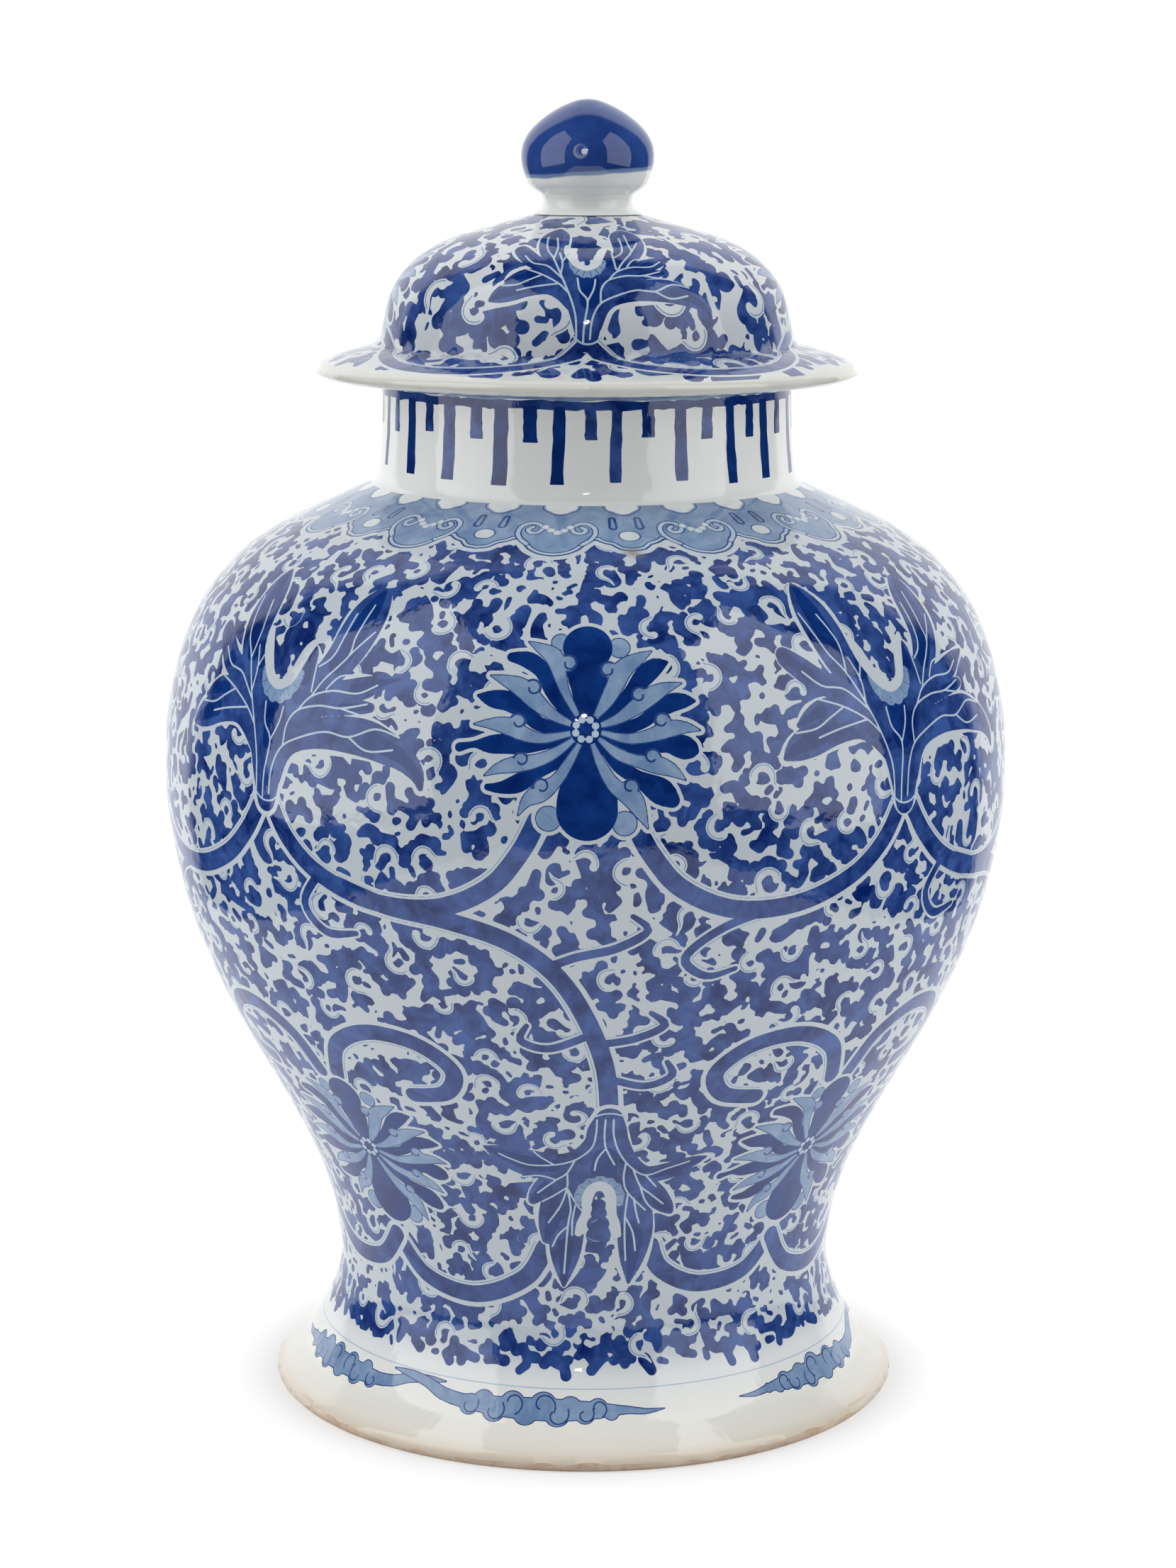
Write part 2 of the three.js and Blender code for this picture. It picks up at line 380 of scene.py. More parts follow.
def scroll_ground(wall, start, end, scale, random):
    """Fills the wall from start to end with the leafy scroll, in the scale given."""
    wall.grain /= scale
    wall.wash["room"] = np.full((wall.rows, wall.columns), empty_room, np.float32)
    ends = start + ground_margin, end
    low, high = limits = np.interp(ends, wall.along[:-2], np.arange(wall.rows - 2))
    lean = drift(lean_cells, lean_wave, random)
    area = 2 * math.pi * np.sum(wall.grain * wall.radius) / scale
    curls, channels, paths = [], [], []

    def claim(path, grow=0):
        wall.stroke(widened(path, 0), [("room", grow)], path_gap + 1 - grow)

    def anywhere():
        return random.uniform(0, wall.columns), random.uniform(low, high)

    for _ in range(int(area / curl_area)):
        x, y = anywhere()
        if wall.wash["room"][int(y), int(x)] < curl_gap or wall.along[int(y)] < start + curl_room:
            continue
        degrees, along = (x / wall.columns - 0.5) * 360, wall.along[int(y)]
        side = random.choice([-1, 1])
        size, turn = random.uniform(*curl_sizes), random.uniform(0, 2 * math.pi)
        path = curl(wall, degrees, along, size, turn, side, scale, random)
        curls.append((path, side))
        tail = path[0, :2] - path[1, :2]
        heading = math.atan2(tail[1], tail[0])
        leader = wander(wall, *path[0, :2], heading, leader_steps, limits, random)
        claim(path[:, :2])
        if len(leader) > 2:
            channels.append(np.array(leader))
            claim(channels[-1], channel_claim)
    for share, count in frond_rounds:
        for _ in range(int(area / frond_area)):
            x, y = anywhere()
            if wall.wash["room"][int(y), int(x)] < path_gap * share:
                continue
            trend = lean[int(y * lean_cells[0] / wall.rows), int(x * lean_cells[1] / wall.columns)]
            heading = 1.2 * trend + random.normal(0, 0.6)
            ahead = wander(wall, x, y, heading, count, limits, random)
            behind = wander(wall, x, y, heading + math.pi, count, limits, random)
            path = np.array(behind[:0:-1] + ahead)
            if len(path) > 2:
                paths.append(path)
                claim(path)
    for path in paths:
        frond(wall, path, random)
    for _ in range(int(area / patch_area)):
        x, y = anywhere()
        room = wall.wash["cobalt"][int(y), int(x)]
        if widest_gap < room < wall.unpainted - 1:
            heading, one = random.uniform(0, 2 * math.pi), wall.grain[int(y)]
            length = random.uniform(0.5, 1.6) * room / one
            tip = x + length * math.cos(heading), y + length * math.sin(heading)
            size = room - left_gap
            wall.stroke([(x, y, size), (*tip, size * 0.8)], [("cobalt", 0)], wide_reach)
    for path in channels:
        channel(wall, path, random)
    wall.wash["cobalt"] = settled(wall.wash["cobalt"], speck)
    for path, side in curls:
        paint_curl(wall, path, side, random)
    del wall.wash["room"]
    wall.grain *= scale
    for wash in ("cobalt", "pale"):
        wall.wash[wash] *= scale
    print("ground:", len(curls), "curls,", len(paths), "fronds")


chance = np.random.default_rng(7)
scroll_ground(jar_wall, 0, ground_top, 1, chance)


# The vines: smooth stems in one broad stroke each, with a white margin left on both sides and
# a thin pale line drawn in it. The whole scroll repeats at every quarter of the jar.
vine_half_width = 3.1
side_stem_half_width = 1.5
vine_margin = 1.7
quarters = [0, 90, 180, 270]


def mirrored(points):
    return [(-x, y) for x, y in points]


def both_sides(points):
    """The whole of an even outline, from its right half."""
    return points + [(-x, y) for x, y in points[:0:-1] if x]


# Places on the wall: degrees from the front and mm along the wall.
garland = [(44, 212), (41, 201), (36, 191), (28, 184), (19, 184), (12, 192), (8, 204), (6, 214)]
crook = [(43, 112), (40, 126), (33, 134), (25, 132), (20, 122), (22, 112), (28, 109)]
vines = [
    mirrored(garland), garland, mirrored(crook), crook,
    [(-33, 188), (-26, 183), (-18, 180), (-10, 174), (-4, 163), (0, 147), (3, 126), (4, 104)],
    [(-45, 42), (-38, 29), (-25, 25), (-13, 33), (-8, 46)],
    [(45, 42), (38, 31), (26, 29), (17, 36), (14, 46)],
]
side_stems = [
    [(-5, 165), (-1, 169), (4, 172), (8, 178), (6, 183)],
    [(2, 136), (7, 138), (11, 143), (9, 148)],
    [(26, 184), (18, 178), (13, 168), (16, 161), (20, 163)],
    [(-36, 191), (-39, 180), (-36, 171), (-31, 172)],
    [(1, 140), (-5, 134), (-9, 137), (-8, 143)],
    [(3, 122), (9, 118), (13, 122), (12, 128)],
]


def vine(wall, stems, quarter):
    """Lays stems, each a list of places and a half width, with their margins under all of them."""
    paths = []
    for places, half_width in stems:
        degrees, along = np.array(places, float).T
        path = smooth(wall.spot(degrees + quarter, along), 7)
        width = np.full(len(path), half_width)
        if half_width < vine_half_width * 0.7:
            width *= np.interp(np.arange(len(path)), [0, len(path) * 0.7, len(path)], [1, 1, 0.5])
        paths.append(np.column_stack([path, width]))
    for path in paths:
        margin = vine_margin * min(1, path[0, 2] / vine_half_width)
        wall.stroke(path, [("-cobalt", margin), ("-pale", margin)])
    for path in paths:
        wall.stroke(path, [("cobalt", 0)])
        run = np.gradient(path[:, :2], axis=0)
        bend = np.sign(np.sum(run[:-1, 0] * run[1:, 1] - run[:-1, 1] * run[1:, 0]))
        _, square, grain = course(wall, path)
        line = path[:, :2] + square * bend * (path[:, 2:] + vine_margin * 0.5) / grain
        wall.stroke(widened(line, thin_line * 0.8), [("pale", 0)], 1)
    for path in paths:
        wall.stroke(path, [("-pale", 0.2)], 1)


stems = [(places, vine_half_width) for places in vines]
stems += [(places, side_stem_half_width) for places in side_stems]
for quarter in quarters:
    vine(jar_wall, stems, quarter)


# The flowers: a lotus seen from the front, with a ring of dark and pale petals in turn, each pale
# one edged with a thin line and curled on one shoulder. Places are mm right of the flower's heart
# and above it, and a petal is a brush stroke from its tip to the heart, with half widths. Each pale
# petal comes with its curled shoulder, a round dab.
petal_line = 0.36
flower_margin = 1.2
pale_petals = [
    ([(-19.5, 28.3, 0.4), (-15.3, 26.2, 1.9), (-10.7, 23.3, 3), (-8.8, 18.4, 2.4),
      (-6.9, 12.5, 1.7), (-3, 5, 1.1)],
     (-5.7, 21.3, 2.9)),
    ([(-31.3, 16.6, 0.4), (-26, 15.1, 2), (-20.6, 12.9, 3.2), (-16, 8.8, 2.9), (-10.7, 4.7, 2),
      (-3.8, 1.3, 1)],
     (-17.2, 13.1, 2.9)),
    ([(-35.5, 0.9, 0.4), (-29.8, 1.2, 1.9), (-24.4, 0.6, 2.9), (-19.1, -1.7, 2.4), (-13, -2.9, 1.7),
      (-4.2, -1.1, 1)],
     (-21.5, 2.2, 2.8)),
    ([(-31.3, -15.1, 0.4), (-26.7, -12.6, 1.9), (-21.4, -11.2, 2.7), (-15.3, -10, 2.3),
      (-9.2, -7.2, 1.8), (-3.4, -2.9, 1)],
     (-20.1, -9.8, 2.6)),
    ([(-20.6, -27.3, 0.4), (-17.9, -22.6, 2), (-13.7, -19.8, 3.2), (-9.2, -16.3, 2.2),
      (-5.7, -11.2, 1.8), (-1.9, -4.5, 1)],
     (-13.6, -18.1, 2.8)),
    ([(22.1, 25.1, 0.4), (17.2, 22.5, 2.2), (12.2, 19.2, 3.2), (9.5, 14, 2.9), (6.5, 8.8, 2.3),
      (3.1, 3.9, 1.1)],
     (7.5, 19.2, 2.8)),
    ([(31.3, 14.3, 0.4), (26, 12.9, 2), (20.6, 10.3, 3), (15.3, 6.5, 2.6), (9.9, 3.2, 1.7),
      (4.6, 1.3, 1)],
     (17.3, 10.9, 2.8)),
    ([(36.3, -0.9, 0.4), (31.3, 0.2, 2), (26, -0.2, 2.8), (19.8, -2.1, 2.2), (13, -2.9, 1.7),
      (5.3, -1.1, 1)],
     (24.3, 2.5, 2.8)),
    ([(30.9, -16.3, 0.4), (26.7, -13.1, 2.2), (21.8, -11.2, 3), (16, -10, 2.1), (9.9, -7.6, 1.9),
      (4.6, -3.3, 1)],
     (20.8, -8.8, 2.8)),
    ([(19.1, -31.3, 0.4), (16.8, -26.1, 2.2), (14.1, -21.4, 3.3), (8.8, -17.5, 2.4),
      (5, -11.2, 1.8), (2.3, -4.9, 1)],
     (13.9, -18.1, 2.8)),
]
dark_petals = [
    [(-24.8, 22.9, 1.6), (-19.1, 22, 2.8), (-14.1, 18.4, 2.6), (-11.1, 12.1, 2.2), (-7.6, 7.3, 2),
     (-3.4, 2.5, 1.2)],
    [(-34.9, 10, 0.5), (-29.8, 9.1, 2.8), (-24.4, 8.4, 3.2), (-19.1, 5.1, 2.6), (-14.5, 1.5, 2.3),
     (-7.6, 0, 2)],
    [(-39.7, -6.6, 1.5), (-35.1, -5.5, 1.1), (-29.8, -5.3, 2.8), (-24.4, -4.9, 3.2),
     (-18.3, -5.5, 2.3), (-3.8, -2.5, 1.6)],
    [(-30.2, -18.7, 1.1), (-26, -18.7, 1.9), (-20.6, -17.1, 3), (-14.5, -13.1, 2.4),
     (-8.4, -9.6, 2.2), (-3.1, -4.5, 1.2)],
    [(0, -4, 1), (0, -8.8, 3), (0.2, -15.1, 6), (0.5, -21.5, 9.2), (0.5, -25.4, 9.7)],
    [(0, 4.3, 1), (0.4, 9.5, 4), (0.6, 14.7, 5.6), (0.6, 17.7, 6.6)],
    [(27.1, 21.3, 0.5), (22.9, 19.9, 2.8), (19.1, 16.8, 3.2), (15.3, 12.6, 2.4), (11.8, 8.8, 2),
     (6.1, 3.6, 1.2)],
    [(35.1, 8.4, 0.5), (31.3, 8.6, 2.4), (27.1, 8, 3), (22.5, 5.4, 2.5), (17.6, 2.1, 2.1),
     (12.2, 0.4, 2), (6.1, 0, 1.2)],
    [(34, -7.2, 1.6), (30.9, -6.1, 3.8), (25.6, -4.7, 2.9), (19.8, -5.8, 2.3), (13.7, -5.7, 2.2),
     (6.9, -3.3, 1.4)],
    [(26.7, -22.6, 2.4), (23.3, -19.8, 4.2), (19.1, -17.1, 3.2), (14.9, -14.7, 2.4),
     (10.3, -11.2, 2.4), (5.3, -5.7, 1.3)],
]
dark_bud = (0.6, 26.3, 7.8)
half_rounds = [(-8.6, 28.4, 3.1), (11.3, 26.4, 3.6), (-11.3, -28.1, 4.2), (12, -29.6, 4.1)]
petals_root = (0, 0, 9.5)
heart_radius, heart_dot = 5, 1.9
heart_beads, bead_ring, bead_radius = 8, 3.3, 1.15


def turned(points, degrees=0, side=1, size=1):
    """Points of a brush stroke turned about the heart of a motif, and mirrored where side is -1."""
    points = np.atleast_2d(np.asarray(points, float))
    angle = math.radians(degrees)
    x = points[:, 0] * math.cos(angle) - points[:, 1] * math.sin(angle)
    y = points[:, 0] * math.sin(angle) + points[:, 1] * math.cos(angle)
    return np.column_stack([x * side, y, points[:, 2:]]) * size


def clear(wall, strokes, margin, washes=("cobalt", "deep", "pale", "light", "line")):
    """Wipes washes away under strokes and their margins."""
    for stroke in strokes:
        wall.stroke(stroke, [("-" + wash, margin) for wash in washes])


def figure(wall, strokes, wash, line=petal_line):
    """Fills overlapping strokes as one shape, and draws a thin line round it."""
    for stroke in strokes:
        wall.stroke(stroke, [(wash, 0), ("line", 0)])
    for stroke in strokes:
        wall.stroke(stroke, [("-line", -line)])


def curl_line(tip, bud):
    """The spiral line in a petal's curled shoulder, from the side of its tip into its middle."""
    x, y, radius = bud
    away = np.array([tip[0] - x, tip[1] - y]) / math.hypot(tip[0] - x, tip[1] - y)
    side = np.array([away[1], -away[0]]) * (1 if tip[0] < 0 else -1)
    turn = np.linspace(40, 345, 14)
    reach = (radius - petal_line) * (1 - 0.55 * np.clip((turn - 170) / 175, 0, 1))
    points = [(x, y) + r * (math.cos(a) * away + math.sin(a) * side)
              for a, r in zip(np.radians(turn), reach)]
    return widened(points, petal_line * 0.9)


def flower(wall, degrees, along, size):
    """Lays the dark petals, the pale ones over them, and the heart with its ring of beads."""
    def place(points):
        return wall.local(degrees, along, turned(points, size=size))

    pale = [([place(smooth(petal, 1.5)), place(bud)], petal, bud) for petal, bud in pale_petals]
    dark = [place(smooth(petal, 1.5)) for petal in dark_petals] + [place(dark_bud)]
    rounds = [place(spot) for spot in half_rounds]
    for strokes in [[stroke] for stroke in dark + rounds] + [parts for parts, _, _ in pale]:
        clear(wall, strokes, flower_margin)
    wall.stroke(place(petals_root), [("deep", 0)])
    for spot in rounds:
        figure(wall, [spot], "pale")
    for stroke in dark:
        clear(wall, [stroke], 0, ("pale", "line"))
        wall.stroke(stroke, [("deep", 0)])
    for strokes, petal, bud in pale:
        clear(wall, strokes, 0, ("deep", "line"))
        figure(wall, strokes, "pale")
        wall.stroke(place(curl_line(petal[0], bud)), [("line", 0)], 1)
    heart = place((0, 0, heart_radius))
    wall.stroke(heart, [("deep", 0), ("-pale", 0), ("-light", 0), ("-line", 0)])
    for angle in np.arange(heart_beads) * 360 / heart_beads + 20:
        bead = place(turned((bead_ring, 0, bead_radius), angle))
        wall.stroke(bead, [("-deep", 0), ("-cobalt", 0), ("light", 0)], 1)
    wall.stroke(place((0, 0, heart_dot)), [("deep", 0)])


# The leaf sprays: acanthus leaves that rise from a tie on the vine and lie over the ground, with
# branching veins scratched through to the white and a pale ruffled crown under a white loop.
vein = 0.32
leaf_margin = 1.9
crown_half_width = 2.6
crown_band = 2
crown_ribs = (0.8, 1.2)
# Each leaf is a stroke from the tie to its tip: mm right of the tie, mm above it, half width.
upright_leaves = [
    [(0, 0, 4.4), (-5, 18, 4.6), (-11, 30, 4.6), (-17, 41, 5.2), (-21.5, 50, 6.4), (-24, 59, 7),
     (-25.6, 67, 6), (-27, 74, 3), (-27.6, 78, 0.4)],
    [(-8, 22, 3), (-14, 31, 4), (-22, 38, 4), (-31, 41.5, 4.2), (-38, 46.5, 4), (-43, 50.5, 3.4),
     (-44, 52, 2.4)],
    [(-7, 20, 3), (-14, 27, 4), (-22, 31, 4), (-31, 32.5, 4), (-37, 31, 3.2), (-42.5, 28.6, 1)],
    [(-6, 16, 3), (-12, 23, 4), (-19, 26.5, 4.4), (-29, 26, 5), (-38, 23.6, 5.4), (-44, 21.3, 4),
     (-48.5, 18.6, 1)],
    [(0, 0, 4.4), (5, 18, 4.6), (12.6, 34, 4.6), (19, 41, 5), (25.5, 49, 6.6), (28.6, 57, 7.6),
     (30, 65, 7), (31.4, 71.5, 4), (32, 74, 1.6)],
    [(9, 26, 3), (15, 33, 3.6), (22, 36.4, 3.8), (30, 38, 3.8), (37, 39.6, 3.8), (43.5, 41.8, 2.6),
     (50.5, 43.6, 0.5)],
    [(7, 21, 3), (13, 28.4, 3.6), (20, 32, 3.4), (29.5, 32.8, 2.7), (37, 33.4, 2.3),
     (41, 33.6, 1.6)],
    [(3, 8, 4), (7, 16, 3.6), (13, 21, 4.2), (24.6, 24, 5.2), (38.6, 24, 6), (48, 21.6, 5.4),
     (55, 18.6, 4.2), (60, 14, 2.6), (61.6, 9.6, 1)],
    [(0, 1.5, 4.6), (0.4, 10, 6), (0.8, 18, 8.4), (1, 26, 9.6), (0.6, 30, 9.4)],
    [(10, 28, 4.4), (11.4, 38, 4.2), (11.6, 45, 3.8), (11, 49, 3)],
    [(-9.6, 28, 4.4), (-11.6, 36, 4), (-12.8, 44, 3.2), (-13.2, 49, 2.4)],
]
upright_veins = [
    [(-5, 0.6), (-5, 7), (-5.8, 14), (-9, 23), (-14, 33.4), (-20, 44.4), (-26, 52), (-31.5, 66)],
    [(-9, 23), (-14.4, 28), (-23.7, 33), (-34.4, 36.5)],
    [(-23.7, 33), (-30, 30), (-36, 27), (-44, 26.2)],
    [(-14.4, 28), (-24, 26.6), (-30, 25.4), (-35.3, 24)],
    [(-13, 31), (-22, 38.5), (-31, 40.4), (-38, 45.7)],
    [(-14, 33.4), (-14, 41), (-17.2, 48.7)],
    [(-14.4, 41), (-11.6, 48.3)],
    [(-19.6, 44.4), (-19.5, 54), (-23.7, 65)],
    [(-1.8, 0), (-1.4, 7.6), (0.2, 19), (-3.7, 24.4), (-5, 31)],
    [(0.2, 19), (3.2, 25), (4.2, 30.4)],
    [(1.3, 1.5), (2.4, 10.6), (6.5, 17.9), (15.3, 22), (24.6, 24.4), (34, 23.6), (44, 27),
     (53, 25)],
    [(34, 23.6), (41.4, 19.8), (51, 20.9)],
    [(6.5, 17.9), (7, 25), (11, 30), (20, 32.4), (29.3, 32.4), (39.5, 34.6)],
    [(29.3, 32.4), (37.7, 30.8)],
    [(11, 30), (16, 35), (24.6, 37.7), (35, 37.7), (42.3, 41)],
    [(21.9, 38), (26.5, 42.6), (33.5, 43.4)],
    [(16, 35), (20, 41), (27.9, 49.5), (28.4, 56.3), (30.7, 68.5)],
    [(27.9, 49.5), (35.8, 58.6)],
    [(15.6, 36.5), (14.9, 48.7)],
    [(16.3, 45), (22, 50), (24.6, 64.7)],
    [(-6.2, 2.6), (-3, 0), (0, -0.8), (3.4, -0.2), (6.6, 2.4)],
]
# The crown is an arc of ruffles: its middle, radius, first and last degrees and number of ruffles.
upright_crown = ((0, 42), 8.6, 185, 355, 8)
upright_loop = [
    (-13.6, 55, 1.2), (-11.6, 49.4, 2.2), (-8.6, 44, 2.1), (-5.4, 39.6, 1.8), (-0.5, 37.2, 1.7),
    (4.6, 39.6, 1.8), (7, 45, 2), (9.4, 50.4, 1.9), (12.6, 54, 0.9),
]
upright_stamen = [(0, 41, 1.4), (-0.8, 44.6, 2.9), (-1.8, 49, 3.5), (-1, 54, 4.2), (-2.4, 59, 3.4)]
hanging_leaves = [
    [(0, 0, 4.6), (-3.4, -6, 4), (-4.5, -12, 4), (-9, -19, 4.6), (-17, -23, 5.4), (-28, -23, 6.6),
     (-38, -20, 5), (-43.5, -17.4, 2.2), (-46.5, -16, 0.4)],
    [(-9, -22, 4), (-15, -27, 4.6), (-21, -31, 4.6), (-27, -37, 3.4), (-30, -41, 1.6)],
    [(-12, -26, 4), (-16, -33, 5), (-19.5, -42, 6), (-22.5, -51, 4.8), (-25, -58, 2)],
    [(-11, -30, 4), (-14, -40, 5), (-16, -52, 6.2), (-17, -62, 5.6), (-17.6, -70, 3.4),
     (-18, -77, 0.6)],
    [(0, 0, 4.6), (2.4, -6, 4), (3.5, -12, 4), (7.7, -22, 4.2), (15, -28, 3.8), (25, -27, 4),
     (34, -23.6, 2.6), (39, -22, 0.6)],
    [(8, -24, 3.6), (14, -32, 4.4), (20, -38, 4.6), (26, -44, 3), (29, -47, 1)],
    [(6, -24, 4), (9.6, -34, 5), (12.6, -44, 6.2), (14, -55, 6.4), (13.6, -66, 4.4),
     (12.4, -76, 0.6)],
    [(0, -1, 4.8), (0, -10, 6), (-0.6, -19, 8.6), (-1, -25, 9.4)],
]
hanging_veins = [
    [(-4.2, -1), (-4.4, -8), (-6, -15), (-12, -20.6), (-20, -23.2), (-30, -23.6), (-38, -20.6),
     (-41, -19)],
    [(-20, -23.2), (-24.6, -20), (-27.5, -17)],
    [(-12, -20.6), (-15.2, -27), (-19.6, -30.4), (-27.6, -37)],
    [(-19.6, -30.4), (-26, -28.6), (-33, -29.6)],
    [(-15.2, -27), (-15.4, -34), (-18.6, -43), (-24, -50.6)],
    [(-15.4, -34), (-21, -38), (-26, -41)],
    [(-15.4, -34), (-14.2, -44), (-15.6, -52), (-17.8, -72)],
    [(-15.6, -52), (-20, -56), (-22.8, -61)],
    [(-15, -35), (-12, -41.6), (-9.4, -45)],
    [(-12, -41.6), (-13.6, -49), (-13.8, -56)],
    [(-1.2, -1), (-1.4, -8), (-0.6, -15), (3, -23)],
    [(-0.6, -15), (-3.6, -20), (-4.6, -25.6)],
    [(1.6, -1), (2, -9), (4.4, -17), (9, -24), (15.6, -28.6), (24, -26), (32.6, -23.4)],
    [(15.6, -28.6), (20.6, -34.4)],
    [(10.6, -26), (14, -33.6), (19, -38), (25, -43)],
    [(14, -33.6), (17, -41), (21, -45.4)],
    [(7.4, -22), (7, -30), (9.4, -37), (17.6, -45.4)],
    [(9.4, -37), (9, -48), (9.6, -58), (10.6, -67)],
    [(12, -39.6), (13.6, -46), (15.4, -51)],
    [(9, -48), (13, -55), (14.8, -63)],
    [(-5.4, 0.4), (-2.6, 1.6), (0, 2), (2.6, 1.6), (5.4, 0.4)],
]
hanging_crown = ((-2.3, -39), 8.2, -15, 195, 9)
hanging_loop = [
    (-11, -55, 1.4), (-8.8, -51, 2.5), (-7.4, -45.6, 1.8), (-7.4, -40, 1.9), (-5.8, -35.2, 2),
    (-2.4, -33, 2.1), (1, -35.2, 2), (2.6, -40, 1.9), (2.6, -45.6, 1.8), (4.2, -51, 2.3),
    (6.4, -56, 1.2),
]
hanging_stamen = [
    (-2.3, -38.4, 1), (-2.5, -42, 2.6), (-2.3, -46.2, 2.9), (-2.5, -51, 4), (-2.2, -56, 4.4),
]
sprays = {
    "upright": (upright_leaves, upright_veins, upright_crown, upright_loop, upright_stamen),
    "hanging": (hanging_leaves, hanging_veins, hanging_crown, hanging_loop, hanging_stamen),
}


def spray(wall, kind, degrees, along, size, random):
    """Lays a spray's leaves with their uneven margins, then its crown, loop, stamen and veins."""
    leaves, veins, crown, loop, stamen = sprays[kind]

    def place(points):
        return wall.local(degrees, along, turned(points, size=size))

    strokes = [place(smooth(leaf, 2)) for leaf in leaves]
    for stroke in strokes:
        knots = np.linspace(0, len(stroke), 6)
        uneven = np.interp(np.arange(len(stroke)), knots, random.uniform(-0.3, 1.1, 6))
        margin = np.column_stack([stroke[:, :2], stroke[:, 2] + leaf_margin * uneven])
        wall.stroke(margin, [("-cobalt", 0), ("-pale", 0)])
    for stroke in strokes:
        wall.stroke(stroke, [("cobalt", 0), ("-pale", 0)])
    for stroke in strokes:
        tip = stroke[int(len(stroke) * random.uniform(0.55, 0.7)):]
        wall.stroke(tip * [1, 1, 0.5], [("deep", 0)])
    (x, y), radius, first, last, ruffles = crown
    angles = np.radians(np.linspace(first, last, ruffles))
    ways = np.stack([np.cos(angles), np.sin(angles)], 1)
    middles = (x, y) + radius * ways
    bulge = crown_half_width - 0.7 * np.abs(np.linspace(-1, 1, ruffles))
    ruffle = [place(spot) for spot in np.column_stack([middles, bulge])]
    ruffle.append(place(widened(middles, crown_band)))
    clear(wall, ruffle, 0, ("deep",))
    figure(wall, ruffle, "pale", thin_line)
    for way in ways:
        rib = [(x, y) + radius * share * way for share in crown_ribs]
        wall.stroke(place(widened(rib, thin_line * 0.7 / size)), [("line", 0)], 1)
    clear(wall, [place(smooth(loop, 2))], 0)
    wall.stroke(place(stamen), [("cobalt", 0)], dabs=True)
    for path in veins:
        wall.stroke(place(widened(smooth(path, 2), vein / size)), [("light", 0)], 1)


upper_tie = 213
lower_tie = 104
lower_spray_size = 0.95
# Upper flowers stand at the front of each quarter, and lower ones between two quarters.
upper_flower = 243
lower_flower = 79
lower_flower_size = 0.9
for quarter in quarters:
    spray(jar_wall, "upright", quarter - 45, upper_tie, 1, chance)
    spray(jar_wall, "hanging", quarter + 4, lower_tie, lower_spray_size, chance)
    flower(jar_wall, quarter, upper_flower, 1)
    flower(jar_wall, quarter + 46, lower_flower, lower_flower_size)


# The lappets: a pale collar round the foot of the neck, with hanging heads that curl inwards at
# both shoulders, small lobes between them with a white pearl, and white scallops above.
lappet_count = 12
lappet_turn = -6.2
collar_base = 318
collar_top = 345
collar_margin = 2.2
border_width = 1.2
border_inset = 0.4
lappet_head = both_sides([
    (0, 308.4), (4.6, 309.4), (8.6, 312.2), (11, 315.6), (14.2, 319), (16, 323.4), (15.4, 327.4),
    (12.4, 330), (0, 331),
])
lappet_tip = lappet_head[0][1]
lappet_lobe = both_sides([
    (0, 311.4), (4.4, 312.4), (7, 315.2), (9.6, 316.2), (12.6, 319), (13, 326),
])
lappet_scroll = [
    (9.6, 315.4), (12.6, 318.4), (14.4, 322), (14, 325.8), (11.2, 328.2), (7.6, 327.8),
    (5.6, 325.2), (7, 322.6), (9.8, 322.4), (11, 324.4), (9.4, 325.8),
]
lappet_petals = [
    (-4.6, 326, 1.6), (-2.2, 324, 1.6), (0.4, 322.6, 1.7), (2.8, 324, 1.6), (5, 326, 1.5),
]
pearl = [(-0.6, 320.6, 2.7), (0.6, 320.6, 2.7)]
wedge = [(331, 1.3), (326, 1.6)]
wedge_places = (-5.4, 5)
scallop = [(-3.4, 338.6, 2.8), (0, 337.6, 3.6), (3.4, 338.6, 2.8)]


